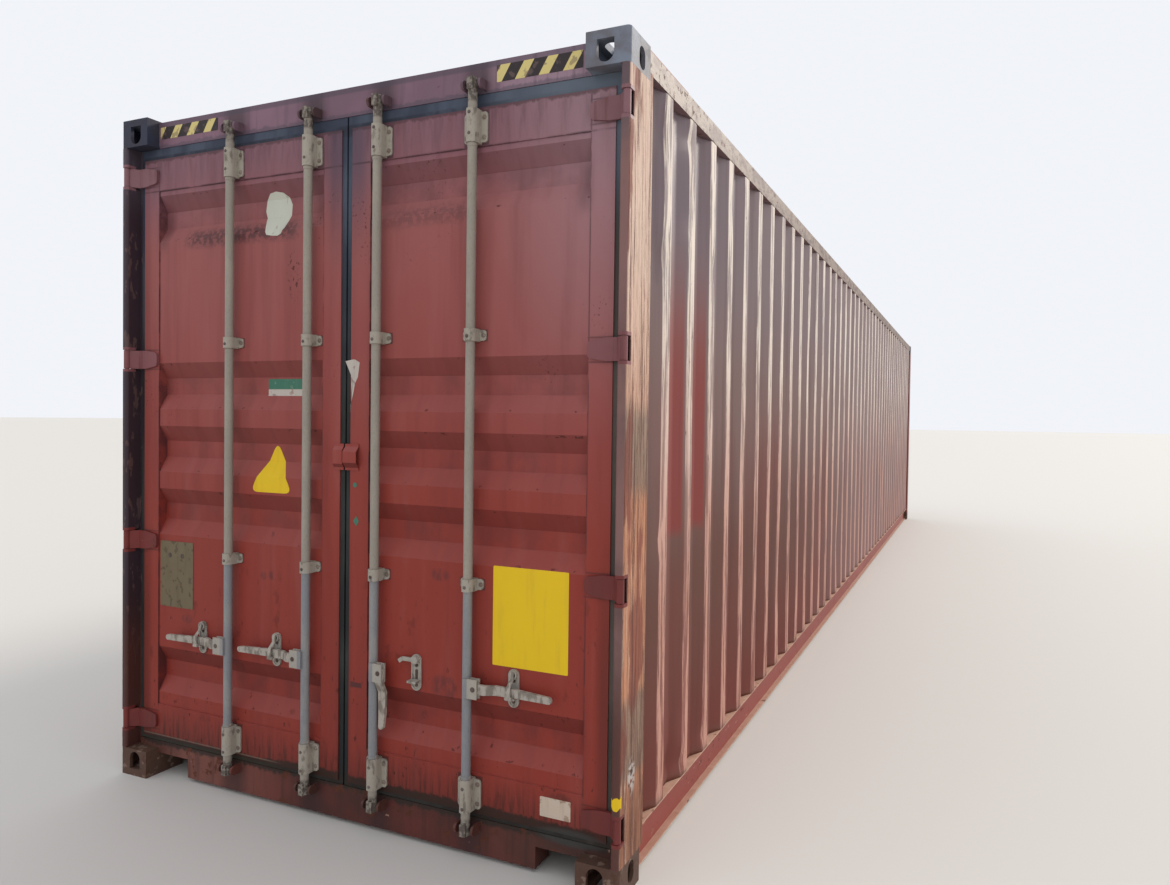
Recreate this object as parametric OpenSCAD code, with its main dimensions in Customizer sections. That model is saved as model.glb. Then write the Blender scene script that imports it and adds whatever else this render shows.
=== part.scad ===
// A 40-foot high-cube dry freight container in steel, doors shut, standing on its four bottom castings.
// Length runs along X with the door end at -X, width along Y, height along Z. The origin is on the
// ground at the middle of the footprint. Millimetres.

/* [Overall] */
// Length over the corner castings
length = 12192; // [6058:1:13716]
// Width over the corner castings
width = 2438; // [2400:1:2600]
// Height over the corner castings
height = 2896; // [2591:1:3000]

/* [Corner castings] */
// Length of a casting, along the container
casting_l = 178; // [170:1:185]
// Width of a casting, across the container
casting_w = 162; // [155:1:170]
// Height of a casting
casting_h = 118; // [112:1:124]
// Thickness of the plate with the twist-lock slot
casting_plate = 28.5; // [26:0.5:31]
// Thickness of the end and side walls that face out
casting_wall = 15; // [12:1:18]
// Thickness of the walls that face in
casting_back = 11; // [8:1:14]
// Thickness of the plate opposite the slot
casting_cover = 10; // [8:1:12]
// Radius of the upright outer edge
casting_round = 14; // [8:1:18]
// Length of the twist-lock slot
slot_l = 124; // [118:1:130]
// Width of the twist-lock slot, and of the hole in the end
slot_w = 63.5; // [60:0.5:66]
// Centre of the slot from the end of the container
slot_from_end = 103.5; // [101:0.5:106]
// Centre of the slot from the side of the container
slot_from_side = 89.5; // [87:0.5:92]
// Width of the hole in the side
side_hole_w = 51; // [46:1:56]
// Height of the holes in the end and the side
hole_h = 77; // [70:0.5:78]

/* [Door posts] */
// Steel thickness of the posts
post_t = 6; // [4:0.5:8]
// Depth of the narrow nose in front of the door seat
nose_l = 64; // [58:1:70]
// Width of the nose
nose_w = 34; // [30:1:40]
// Radius of the nose's front edges
nose_round = 12; // [8:1:14]
// Depth of a whole post, along the container
post_l = 194; // [185:1:220]
// Width of a whole post, across the container
post_w = 49; // [45:1:54]
// Length of the side plate's lip behind the post
post_lip = 11; // [4:1:20]

/* [Header and sill] */
// Depth of the header's and the sill's front face behind the door end
beam_from_end = 60; // [58:1:66]
// Depth of the front top and bottom rails' front face behind the front end
front_beam_from_end = 15; // [6:1:20]
// Depth of the end members, along the container
beam_l = 100; // [90:1:115]
// Steel thickness of the header and the other top members
header_t = 4; // [3:0.5:6]
// Steel thickness of the sill and the front bottom rail
sill_t = 5; // [4:0.5:7]
// Drop of the header's and the top rails' upper face below the castings
header_drop = 6; // [4:1:10]
// Height of the sill's top face above the ground
sill_top = 150; // [140:1:155]
// Rise of all underside members above the ground
under_clear = 17; // [12.5:0.5:19]
// Width of each notch under the sill beside a casting
sill_notch_w = 187; // [150:1:220]
// Height of the sill notch above the ground
sill_notch_h = 97; // [80:1:105]
// Length of the raised threshold at the sill's inner edge
threshold_l = 48; // [40:1:48]

/* [Side walls] */
// Sheet thickness of the side walls
side_t = 2; // [1.5:0.1:3]
// Distance from one rib to the next
side_pitch = 278; // [250:1:300]
// Width of a rib's outer face
side_flat = 72; // [60:1:80]
// Length of each sloping face
side_slope = 68; // [50:1:75]
// Depth of the ribs
side_depth = 36; // [25:1:36]
// Outer face of the ribs, in from the side of the container
side_inset = 8; // [7:1:12]
// Least distance from the container's end to the middle of a rib
side_margin = 397; // [330:1:420]

/* [Side rails] */
// Width of a top side rail
top_rail_w = 60; // [50:1:80]
// Height of a top side rail
top_rail_h = 80; // [60:1:90]
// Outer face of the top side rail, in from the side
top_rail_inset = 6; // [4:1:8]
// Steel thickness of a bottom side rail
bottom_rail_t = 4.5; // [3.5:0.5:6]
// Height of the bottom side rail's top face above the ground
bottom_rail_top = 179; // [165:1:190]
// Edge of the bottom side rail's lower flange, in from the side
bottom_lip_inset = 22; // [15:1:30]

/* [Front wall] */
// Sheet thickness of the front wall
front_t = 2; // [1.5:0.1:3]
// Distance from one rib to the next
front_pitch = 250; // [230:1:300]
// Width of a rib's outer face
front_flat = 110; // [90:1:120]
// Length of each sloping face
front_slope = 18; // [14:1:40]
// Depth of the ribs
front_depth = 45.6; // [30:0.1:46]
// Outer face of the ribs behind the front end
front_inset = 22; // [15:1:40]
// Least distance from the side of the container to the middle of a rib
front_margin = 219; // [180:1:240]

/* [Roof] */
// Sheet thickness of the roof
roof_t = 2; // [1.5:0.1:3]
// Distance from one roof rib to the next
roof_pitch = 209; // [190:1:230]
// Width of a roof rib's top
roof_flat = 91; // [60:1:110]
// Length of each sloping face of the roof
roof_slope = 18; // [12:1:30]
// Depth of the roof ribs
roof_depth = 20; // [12:1:24]
// Least distance from the container's end to the middle of a roof rib
roof_margin = 285; // [260:1:320]
// Length of a corner plate on the roof
corner_plate_l = 420; // [300:1:500]
// Width of a corner plate on the roof
corner_plate_w = 280; // [220:1:400]
// Thickness of a corner plate on the roof
corner_plate_t = 3; // [2:0.5:3.5]

/* [Base] */
// Thickness of the plywood floor
floor_t = 28; // [24:1:30]
// Height of the floor's top face above the ground
floor_top = 170; // [160:1:175]
// Width of a cross member's flanges
cross_w = 45; // [38:1:60]
// Steel thickness of a cross member
cross_t = 4; // [3:0.5:5]
// Distance from one cross member to the next
cross_pitch = 300; // [270:5:320]
// Distance from the door end to the first cross member
cross_margin = 300; // [250:1:400]
// Length of the gooseneck tunnel, from the front end
tunnel_l = 3150; // [3000:5:3500]
// Clear width of the gooseneck tunnel
tunnel_w = 1029; // [1000:1:1060]
// Clear height of the gooseneck tunnel
tunnel_h = 120; // [105:1:124]
// Plate thickness of the gooseneck tunnel
tunnel_t = 6; // [4:0.5:8]

/* [Doors] */
// Depth of the door face behind the end of the container
door_from_end = 57; // [54:1:58]
// Thickness of a door's frame
door_t = 50; // [45:1:50]
// Gap from the header to the top of a door
door_top_gap = 48; // [40:1:60]
// Gap from the sill to the bottom of a door
door_bottom_gap = 17; // [12:1:25]
// Distance from the side of the container to a door's hinge edge
door_side_gap = 73; // [70:1:80]
// Distance from the middle of the container to a door's free edge
door_meeting_gap = 26; // [20:1:30]
// Width of the upright members of a door
stile_w = 91; // [80:1:100]
// Height of a door's top member
top_member_h = 140; // [120:1:160]
// Height of a door's bottom member
bottom_member_h = 150; // [120:1:170]
// Steel thickness of a door's frame
door_frame_t = 4; // [3:0.5:5]
// Sheet thickness of a door panel
panel_t = 2; // [1.5:0.1:3]
// Set-back of a door panel behind the door face
panel_inset = 4; // [2:1:8]
// Depth of a recess pressed into a door panel
recess_depth = 36; // [25:1:38]
// Height of a recess floor
recess_flat = 71; // [50:1:80]
// Height of each sloping face of a recess
recess_slope = 66; // [40:1:66]
// Distance between the three middle recesses
recess_pitch = 277; // [270:1:300]
// Rise of the middle recess above the middle of the door
recess_rise = 8; // [0:1:20]
// Top member to the middle of the top recess
top_recess_drop = 123; // [110:1:160]
// Bottom member to the middle of the bottom recess
bottom_recess_rise = 158; // [110:1:170]
// Front face of the door seal behind the door end
seal_from_end = 62; // [60:1:66]
// Depth of the door seal
seal_l = 40; // [30:1:42]
// Thickness of each lip of the seal
seal_lip = 10; // [6:1:12]
// Thickness of the seal's body round the door
seal_body = 6; // [4:1:10]
// Gap between the seal and what it closes on
seal_gap = 1.5; // [1:0.5:3]
// Gap from the middle of the container to the seal
seal_meeting_gap = 4; // [4:0.5:6]

/* [Hinges] */
// Pin centre, in from the end and from the side of the container
hinge_pin_inset = 15; // [14:0.5:16]
// Radius of a hinge pin
hinge_pin_r = 8; // [6:0.5:9]
// Running gap round a hinge pin
pin_clear = 0.1; // [0.05:0.01:0.2]
// Outer radius of a hinge knuckle
knuckle_r = 13; // [12:0.5:13.5]
// Height of a hinge blade
blade_h = 80; // [60:1:90]
// Thickness of a hinge blade
blade_t = 12; // [8:0.5:12]
// Far end of a hinge blade, in from the side of the container
blade_end = 164; // [140:1:200]
// Height of a hinge blade at its rounded end
blade_tip_h = 62; // [40:1:70]
// Middle of the end hinges from the door's top and bottom edges
hinge_inset = 77; // [70:1:120]
// Distance in from the side at which a blade starts to narrow
blade_waist = 95; // [80:1:115]
// Radius of the two corners of a blade's tip
blade_round = 16; // [8:1:20]
// Number of hinges on a door
hinge_count = 4; // [3:1:5]
// Thickness of a hinge lug
lug_t = 12; // [8:1:14]
// Gap between a hinge blade and a lug
lug_gap = 2; // [1:0.5:4]
// Gap above and below a blade in the post's inner wall
blade_clear = 6; // [5:1:10]
// Depth of the notch cut in the nose for a hinge
notch_l = 42; // [38:1:48]

/* [Lock rods] */
// Radius of a lock rod
rod_r = 17; // [14:0.5:17]
// Middle of a lock rod behind the door end
rod_from_end = 29; // [28.5:0.5:30]
// Inner rods from the middle of the container
rod_inner = 171; // [160:1:200]
// Outer rods from the middle of the container
rod_outer = 596; // [580:1:640]
// Radius of the housings round the rods
housing_r = 23; // [20:0.5:23]
// Height of an end bracket
end_bracket_h = 120; // [100:1:150]
// Distance from a door's edge to its end bracket
end_bracket_inset = 14; // [4:1:20]
// Height of a middle bracket
mid_bracket_h = 45; // [35:1:60]
// Distance between the two middle brackets
mid_bracket_pitch = 903; // [700:1:1000]
// Rise of the middle brackets' centre above the middle of the door
mid_bracket_rise = 11; // [0:1:30]
// Reach of a bracket's flanges to each side of the rod
flange_reach = 49; // [45:1:60]
// Thickness of a bracket's flanges
flange_t = 6; // [5:1:10]
// Length of an end bracket left bare of flange beside the door's edge
flange_outer_gap = 5; // [3:1:45]
// Length of an end bracket left bare of flange at its other end
flange_inner_gap = 6; // [3:1:20]
// Height of a middle bracket's flange short of its housing, at each end
flange_mid_gap = 3; // [1:0.5:6]
// Radius of a flange's corners
flange_round = 12; // [6:1:16]
// Radius of a rod's collars
collar_r = 18.5; // [18:0.5:18.5]
// Height of a rod's collars
collar_h = 12; // [8:1:20]
// Height of a cam
cam_h = 44; // [35:1:50]
// Thickness of a cam's tongue
cam_t = 24; // [16:1:24]
// Reach of a cam's tongue in front of the rod's middle
cam_front = 22; // [18:1:22]
// Reach of a cam's tongue behind the rod's middle
cam_back = 13; // [10:0.5:13]
// Middle of the upper cams above the header's lower edge
keeper_rise = 26; // [24:1:50]
// Middle of the lower cams below the sill's top face
keeper_drop = 32; // [30:1:60]
// Distance from a cam's middle to a keeper's inner face
keeper_gap = 31; // [31:0.5:34]
// Thickness of a keeper
keeper_t = 10; // [8:1:12]
// Radius of a keeper's rounded end
keeper_r = 18; // [14:1:20]

/* [Seal cover] */
// Height of the customs seal cover that spans the meeting edges of the doors
seal_cover_h = 103; // [80:1:120]
// Rise of its middle above the doors' middle
seal_cover_rise = 4; // [0:1:10]
// Reach of its left half from the container's middle
left_cover_reach = 51; // [40:1:60]
// Reach of its right half from the container's middle
right_cover_reach = 70; // [60:1:80]
// Distance that its left half stands proud of the door
left_cover_proud = 14; // [12:1:20]
// Distance that its right half stands proud of the door
right_cover_proud = 20; // [14:1:24]
// Gap between its halves
seal_cover_gap = 8; // [6:1:12]
// Thickness of its sheet
seal_cover_t = 4; // [3:0.5:5]
// Width of the flanges that it is welded on by
seal_cover_lap = 10; // [6:1:14]

/* [Handles] */
// Height of the handles above a door's bottom edge
handle_rise = 473; // [430:1:560]
// Distance from a rod to its handle's pivot
pivot_out = 42; // [40:0.5:46]
// Radius of a handle's pivot pin
pivot_r = 6; // [4:0.5:8]
// Length of a handle from its pivot to its tip
handle_l = 312; // [280:1:320]
// Length of the hanging handle from its pivot to its tip
hanging_handle_l = 220; // [180:1:300]
// Thickness of a handle
handle_t = 12; // [8:0.5:12]
// Width of a handle at its pivot
handle_w = 38; // [30:1:38]
// Width of a handle where its catch holds it
handle_mid_w = 32; // [26:1:34]
// Width of a handle at its tip
handle_tip_w = 24; // [18:1:28]
// Middle of a handle's thickness, in front of the rod's middle
handle_forward = 14; // [13.5:0.5:14.5]
// Distance that a handle steps back towards the door beyond its hub
handle_joggle = 18; // [6:1:18]
// Gap between a hub's corners and the place where its handle starts to step back
joggle_gap = 4; // [2:0.5:8]
// Length over which a handle steps back
joggle_l = 36; // [24:1:40]
// Gap between a catch and the place where its handle starts to come forward again
grip_gap = 4; // [2:1:10]
// Distance that its tip comes forward
grip_forward = 14; // [0:1:20]
// Thickness of a hub's cheeks
cheek_t = 6; // [4:0.5:7]
// Gap between a handle and a cheek
cheek_gap = 1; // [0.5:0.25:2]
// Height of a hub
hub_h = 70; // [60:1:84]
// Reach of a hub beyond the pivot
hub_reach = 16; // [12:1:20]
// Distance from a rod to its handle catch
catch_out = 180; // [150:1:190]
// Height of a catch's base plate
catch_h = 138; // [120:1:150]
// Width of a catch's base plate
catch_w = 44; // [30:1:48]
// Thickness of a catch's base plate
catch_t = 6; // [4:0.5:8]
// Rise of the catch's middle above the handle's middle
catch_rise = 9; // [4:1:16]
// Thickness of the ledge that a handle rests on
ledge_t = 8; // [6:1:10]
// Inset of the ledge from the edges of its base plate
ledge_inset = 2; // [1:0.5:4]
// Reach of the ledge beyond the front of the handle on it
ledge_lip = 2; // [0:0.5:4]
// Width of the raised rim of a catch's base plate, and of its eye
catch_rim = 6; // [4:0.5:8]
// Radius of the eye at the top of a catch, in which its latch turns
catch_eye_r = 17; // [12:1:20]
// Inset of the eye from the top of its base plate
catch_eye_inset = 2; // [1:0.5:4]
// Gap between the eye and the back of a handle that is lifted past it
catch_eye_gap = 7; // [5:0.5:9]
// Length of the open latch on the catch of the handle that hangs, from the middle of its eye
latch_l = 62; // [40:1:70]
// Height of that latch
latch_h = 15; // [10:1:20]
// Angle that the open latch's end bends down by
latch_bend = 35; // [10:5:60]
// Length of its bent end
latch_tip_l = 20; // [14:1:24]
// Thickness of the latch
latch_t = 7; // [5:0.5:8]
// Step from the edge of the eye in to the edge of the latch's head
latch_gap = 2; // [1:0.25:3]
// Depth that the latch's head is seated in the eye
latch_seat = 1; // [0.5:0.25:2]
// Gap between a handle and the ledge it rests on
rest_gap = 1; // [0.6:0.1:1.5]

/* [Hidden] */
$fn = 48;

// Allowance that carries a cut past the faces it opens
over = 1;
// The end and the side that a corner lies at: the doors are at -X, and left is +Y
door_end = -1;
front_end = 1;
left = 1;
right = -1;

red = "firebrick";
grey = "slategray";
dark = "dimgray";

// Heights that several pieces share
post_foot = casting_h;
post_head = height - casting_h;
header_top = height - header_drop;
door_bottom = sill_top + door_bottom_gap;
door_top = post_head - door_top_gap;
door_mid = (door_bottom + door_top) / 2;
rail_bottom = header_top - top_rail_h;
roof_top = header_top;
floor_bottom = floor_top - floor_t;
handle_z = door_bottom + handle_rise;
upper_cam_z = post_head + keeper_rise;
lower_cam_z = sill_top - keeper_drop;

// Places in from a side of the container
casting_gap = width / 2 - casting_w;
web_inset = post_w;
floor_inset = web_inset + bottom_rail_t + 0.5;
leaf_meeting = width / 2 - door_meeting_gap;
panel_face = door_from_end + panel_inset;
// Where a handle steps back and comes forward again, as distances from its pivot
joggle_start = norm([hub_reach, hub_h / 2]) + joggle_gap;
joggle_end = joggle_start + joggle_l;
grip_start = catch_out - pivot_out + catch_w / 2 + grip_gap;
// Depths of a resting handle's front and back and of a catch's foot, from its rod's middle
held_front = handle_joggle - handle_forward - handle_t / 2;
held_back = held_front + handle_t;
catch_foot = panel_face - rod_from_end;
// Length of a catch's eye, and its height above the handle's middle
catch_eye_l = catch_foot - held_back - catch_eye_gap;
catch_eye_rise = catch_rise + catch_h / 2 - catch_eye_r - catch_eye_inset;
roof_inset = top_rail_inset + top_rail_w;

hinge_z = [for (i = [0:hinge_count - 1])
    door_bottom + hinge_inset + i * (door_top - door_bottom - 2 * hinge_inset) / (hinge_count - 1)];

// Middles of a row of ribs spaced evenly about zero, as many as fit between the margins
function centres(span, pitch, margin) =
    let (gaps = floor((span - 2 * margin) / pitch + 0.001))
    [for (i = [0:gaps]) (i - gaps / 2) * pitch];

// Corners of one rib that leaves the base level and comes back to it
function rib(middle, flat, slope, base, crest) = [
    [middle - flat / 2 - slope, base],
    [middle - flat / 2, crest],
    [middle + flat / 2, crest],
    [middle + flat / 2 + slope, base]];

// Corners of one face of a folded sheet, from its start to its stop
function fold_line(start, stop, middles, flat, slope, base, crest) = concat(
    [[start, base]],
    [for (middle = middles) each rib(middle, flat, slope, base, crest)],
    [[stop, base]]);

// Depth of the inner face of an end's header, sill or rail
function beam_end(end) = beam_l + (end == door_end ? beam_from_end : front_beam_from_end);

// Section of a folded sheet: its face, and the same face moved by its thickness
module folded_sheet(line, t) {
    polygon(concat(line, [for (i = [len(line) - 1:-1:0]) line[i] + [0, t]]));
}

// Corner frame: X runs in from the end of the container and Y runs in from its side
module at_corner(end, side) {
    translate([end * length / 2, side * width / 2, 0])
        mirror([end > 0 ? 1 : 0, 0, 0])
            mirror([0, side > 0 ? 1 : 0, 0])
                children();
}

module block(low, high) {
    translate(low)
        cube(high - low);
}

// Hollow block with the same wall all round
module shell_block(low, high, t) {
    difference() {
        block(low, high);
        block(low + [t, t, t], high - [t, t, t]);
    }
}

// Rectangle with the corner at its origin rounded
module edge_rounded(size, r) {
    translate([r, 0])
        square([size.x - r, size.y]);
    translate([0, r])
        square([size.x, size.y - r]);
    translate([r, r])
        circle(r);
}

// Slot outline with round ends, along X
module stadium(l, w) {
    translate([-(l - w) / 2, -w / 2])
        square([l - w, w]);
    for (end = [-1, 1])
        translate([end * (l - w) / 2, 0])
            circle(w / 2);
}

// Rectangle about the origin with round corners
module round_plate(l, w, r) {
    translate([-l / 2, r - w / 2])
        square([l, w - 2 * r]);
    translate([r - l / 2, -w / 2])
        square([l - 2 * r, w]);
    for (x = [-1, 1], y = [-1, 1])
        translate([x * (l / 2 - r), y * (w / 2 - r)])
            circle(r);
}

// Doorway outline with a round head, standing on the X axis
module arch(w, h) {
    translate([-w / 2, 0])
        square([w, h - w / 2]);
    translate([0, h - w / 2])
        circle(w / 2);
}

// Lays an outline drawn across and up into the plane that faces the end of the container
module face_end(t) {
    rotate([90, 0, 90])
        linear_extrude(t)
            children();
}

// Lays an outline drawn along and up into the plane that faces the side of the container
module face_side(t) {
    translate([0, t, 0])
        rotate([90, 0, 0])
            linear_extrude(t)
                children();
}

// Corner casting with its slot plate down
module casting() {
    hole_z = casting_plate + (casting_h - casting_plate - casting_cover - hole_h) / 2;
    difference() {
        linear_extrude(casting_h)
            edge_rounded([casting_l, casting_w], casting_round);
        block([casting_wall, casting_wall, casting_plate],
            [casting_l - casting_back, casting_w - casting_back, casting_h - casting_cover]);
        translate([slot_from_end, slot_from_side, -over])
            linear_extrude(casting_plate + 2 * over)
                stadium(slot_l, slot_w);
        translate([-over, slot_from_side, hole_z])
            face_end(casting_wall + 2 * over)
                arch(slot_w, hole_h);
        translate([slot_from_end, -over, hole_z + hole_h / 2])
            face_side(casting_wall + 2 * over)
                rotate(90)
                    stadium(hole_h, side_hole_w);
    }
}

module bottom_corner_castings() {
    color(dark)
        for (end = [door_end, front_end], side = [left, right])
            at_corner(end, side)
                casting();
}

module top_corner_castings() {
    color(dark)
        for (end = [door_end, front_end], side = [left, right])
            at_corner(end, side)
                translate([0, 0, height])
                    mirror([0, 0, 1])
                        casting();
}

// Section of a door post: a rounded nose, the step that the door closes against, and the box behind it
module post_section() {
    difference() {
        union() {
            nose_outline();
            translate([nose_l, 0])
                square([post_l - nose_l, post_w]);
            translate([post_l - over, 0])
                square([post_lip + over, post_t]);
        }
        translate([post_t, post_t])
            square([nose_l - post_t, nose_w - 2 * post_t]);
        translate([nose_l + post_t, post_t])
            square([post_l - nose_l - 2 * post_t, post_w - 2 * post_t]);
    }
}

// The part of the post behind the castings, which runs on to the side rail
module post_tail_section() {
    intersection() {
        post_section();
        translate([casting_l, -over])
            square([post_l + post_lip, post_w + 2 * over]);
    }
}

module door_post() {
    notch_h = blade_h + 2 * (lug_gap + lug_t);
    window_h = blade_h + 2 * blade_clear;
    difference() {
        union() {
            translate([0, 0, post_foot])
                linear_extrude(post_head - post_foot)
                    post_section();
            translate([0, 0, post_head - over])
                linear_extrude(rail_bottom - post_head + over)
                    post_tail_section();
        }
        for (z = hinge_z) {
            block([-over, -over, z - notch_h / 2], [notch_l, nose_w + over, z + notch_h / 2]);
            block([notch_l - over, nose_w - post_t - over, z - window_h / 2],
                [nose_l, nose_w + over, z + window_h / 2]);
        }
    }
}

module left_door_post() {
    color(red)
        at_corner(door_end, left)
            door_post();
}

module right_door_post() {
    color(red)
        at_corner(door_end, right)
            door_post();
}

module front_post() {
    translate([0, 0, post_foot])
        linear_extrude(post_head - post_foot)
            front_post_section();
    translate([0, 0, post_head - over])
        linear_extrude(rail_bottom - post_head + over)
            intersection() {
                front_post_section();
                translate([casting_l, -over])
                    square([post_l, post_w + 2 * over]);
            }
}

module front_post_section() {
    difference() {
        edge_rounded([post_l, post_w], nose_round);
        translate([post_t, post_t])
            square([post_l - 2 * post_t, post_w - 2 * post_t]);
    }
}

module front_corner_posts() {
    color(red)
        for (side = [left, right])
            at_corner(front_end, side)
                front_post();
}

// Box beam between two castings, in its own end's frame
module end_beam(face) {
    translate([0, width / 2, 0])
        shell_block([face, -casting_gap, post_head], [face + beam_l, casting_gap, header_top], header_t);
}

module door_header() {
    color(red)
        at_corner(door_end, right)
            end_beam(beam_from_end);
}

// Outline of a low end beam seen from the end, with its notches and its shoulders over the castings;
// trim draws every edge in by a plate thickness
module low_beam_outline(notch_w, notch_h, trim) {
    foot = casting_gap - notch_w - trim;
    waist = casting_gap - trim;
    shoulder = width / 2 - post_w - trim;
    translate([-foot, under_clear + trim])
        square([2 * foot, sill_top - under_clear - 2 * trim]);
    translate([-waist, notch_h + trim])
        square([2 * waist, sill_top - notch_h - 2 * trim]);
    translate([-shoulder, casting_h + trim])
        square([2 * shoulder, sill_top - casting_h - 2 * trim]);
}

// Hollow low end beam with its front face at the given depth
module low_beam(face, notch_w, notch_h) {
    difference() {
        translate([face, 0, 0])
            face_end(beam_l)
                low_beam_outline(notch_w, notch_h, 0);
        translate([face + sill_t, 0, 0])
            face_end(beam_l - 2 * sill_t)
                low_beam_outline(notch_w, notch_h, sill_t);
    }
}

module door_sill() {
    inner_x = beam_from_end + beam_l;
    half_w = width / 2 - post_w;
    color(red)
        at_corner(door_end, right)
            translate([0, width / 2, 0]) {
                low_beam(beam_from_end, sill_notch_w, sill_notch_h);
                difference() {
                    block([inner_x - threshold_l, -half_w, sill_top - over], [inner_x, half_w, floor_top]);
                    block([inner_x - threshold_l + sill_t, -half_w + sill_t, sill_top - 2 * over],
                        [inner_x - sill_t, half_w - sill_t, floor_top - sill_t]);
                }
            }
}

module front_top_rail() {
    color(red)
        at_corner(front_end, right)
            end_beam(front_beam_from_end);
}

module front_bottom_rail() {
    color(red)
        at_corner(front_end, right)
            translate([0, width / 2, 0])
                difference() {
                    low_beam(front_beam_from_end, 0, under_clear);
                    block([0, -tunnel_w / 2 - tunnel_t, 0],
                        [2 * beam_l, tunnel_w / 2 + tunnel_t, tunnel_h + tunnel_t]);
                }
}

module top_side_rails() {
    color(red)
        for (side = [left, right])
            at_corner(door_end, side)
                shell_block([casting_l, top_rail_inset, rail_bottom],
                    [length - casting_l, top_rail_inset + top_rail_w, header_top], header_t);
}

// Channel open to the outside: its web stands in line with the posts' inner faces
module bottom_side_rail() {
    block([casting_l, web_inset, under_clear],
        [length - casting_l, web_inset + bottom_rail_t, bottom_rail_top]);
    block([casting_l, bottom_lip_inset, under_clear],
        [length - casting_l, web_inset + over, under_clear + bottom_rail_t]);
    block([post_l, side_inset, bottom_rail_top - bottom_rail_t],
        [length - post_l, web_inset + over, bottom_rail_top]);
}

module bottom_side_rails() {
    color(red)
        for (side = [left, right])
            at_corner(door_end, side)
                bottom_side_rail();
}

// Corrugated wall with upright ribs, drawn in plan
module side_wall() {
    middles = [for (middle = centres(length, side_pitch, side_margin)) middle + length / 2];
    translate([0, 0, bottom_rail_top])
        linear_extrude(rail_bottom - bottom_rail_top)
            folded_sheet(fold_line(post_l, length - post_l, middles, side_flat, side_slope,
                side_inset + side_depth, side_inset), side_t);
}

module left_side_wall() {
    color(red)
        at_corner(door_end, left)
            side_wall();
}

module right_side_wall() {
    color(red)
        at_corner(door_end, right)
            side_wall();
}

module front_wall() {
    half_w = width / 2 - post_w;
    color(red)
        translate([length / 2 - front_inset - front_depth, 0, sill_top])
            linear_extrude(post_head - sill_top)
                rotate(90)
                    mirror([0, 1])
                        folded_sheet(fold_line(-half_w, half_w,
                            centres(width, front_pitch, front_margin), front_flat, front_slope,
                            0, front_depth), -front_t);
}

// Roof sheet with ribs across the container, and plain strips that meet the end members
module roof() {
    half_w = width / 2 - roof_inset;
    color(red) {
        translate([0, half_w, 0])
            rotate([90, 0, 0])
                linear_extrude(2 * half_w)
                    folded_sheet(fold_line(casting_l - length / 2, length / 2 - casting_l,
                        centres(length, roof_pitch, roof_margin), roof_flat, roof_slope,
                        roof_top, roof_top - roof_depth), -roof_t);
        for (end = [door_end, front_end])
            at_corner(end, right)
                translate([0, width / 2, 0])
                    block([beam_end(end), -casting_gap, roof_top - roof_t],
                        [casting_l + over, casting_gap, roof_top]);
    }
}

module roof_corner_plates() {
    color(red)
        for (end = [door_end, front_end], side = [left, right])
            at_corner(end, side)
                block([casting_l, top_rail_inset, roof_top],
                    [casting_l + corner_plate_l, top_rail_inset + corner_plate_w,
                    roof_top + corner_plate_t]);
}

module floor() {
    half_w = width / 2 - floor_inset;
    front = front_inset + front_depth + front_t + 1;
    color("tan")
        difference() {
            block([beam_end(door_end) - length / 2, -half_w, floor_bottom],
                [length / 2 - front, half_w, floor_top]);
            block([length / 2 - beam_end(front_end), -half_w - over, floor_bottom - over],
                [length / 2 - front + over, half_w + over, sill_top]);
        }
}

// Channel from one side of the base to the other, its web toward the doors
module cross_member(low_y, high_y) {
    block([0, low_y, under_clear], [cross_t, high_y, floor_bottom]);
    block([0, low_y, under_clear], [cross_w, high_y, under_clear + cross_t]);
    block([0, low_y, floor_bottom - cross_t], [cross_w, high_y, floor_bottom]);
}

module cross_members() {
    outer = width / 2 - web_inset - bottom_rail_t;
    inner = tunnel_w / 2 + tunnel_t;
    last = length - casting_l - cross_w - 1;
    color(red)
        for (x = [cross_margin:cross_pitch:last])
            translate([x - length / 2, 0, 0])
                if (x < length - tunnel_l - cross_w - 1)
                    cross_member(-outer, outer);
                else if (x > length - tunnel_l) {
                    cross_member(-outer, -inner);
                    cross_member(inner, outer);
                }
}

// Upside-down trough for a trailer's gooseneck, with bearers under the floor
module gooseneck_tunnel() {
    back = length / 2 - tunnel_l;
    front = length / 2 - front_beam_from_end;
    half_w = tunnel_w / 2;
    color(red) {
        difference() {
            block([back, -half_w - tunnel_t, under_clear], [front, half_w + tunnel_t, tunnel_h + tunnel_t]);
            block([back - over, -half_w, under_clear - over], [front + over, half_w, tunnel_h]);
        }
        for (x = [back:cross_pitch:front - beam_l - cross_w])
            block([x, -half_w - tunnel_t, tunnel_h + tunnel_t - over], [x + cross_w, half_w + tunnel_t, floor_bottom]);
    }
}

// Both ears of one keeper, welded to the header or the sill on each side of a cam
module keeper() {
    ear_l = beam_from_end - rod_from_end;
    for (side = [-1, 1])
        translate([0, side * (keeper_gap + keeper_t / 2) - keeper_t / 2, 0])
            face_side(keeper_t) {
                circle(keeper_r);
                translate([0, -keeper_r])
                    square([ear_l, 2 * keeper_r]);
            }
}

module cam_keepers() {
    color(dark)
        for (side = [left, right], y = [rod_inner, rod_outer], z = [upper_cam_z, lower_cam_z])
            at_corner(door_end, side)
                on_rod(y)
                    translate([0, 0, z])
                        keeper();
}

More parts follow.
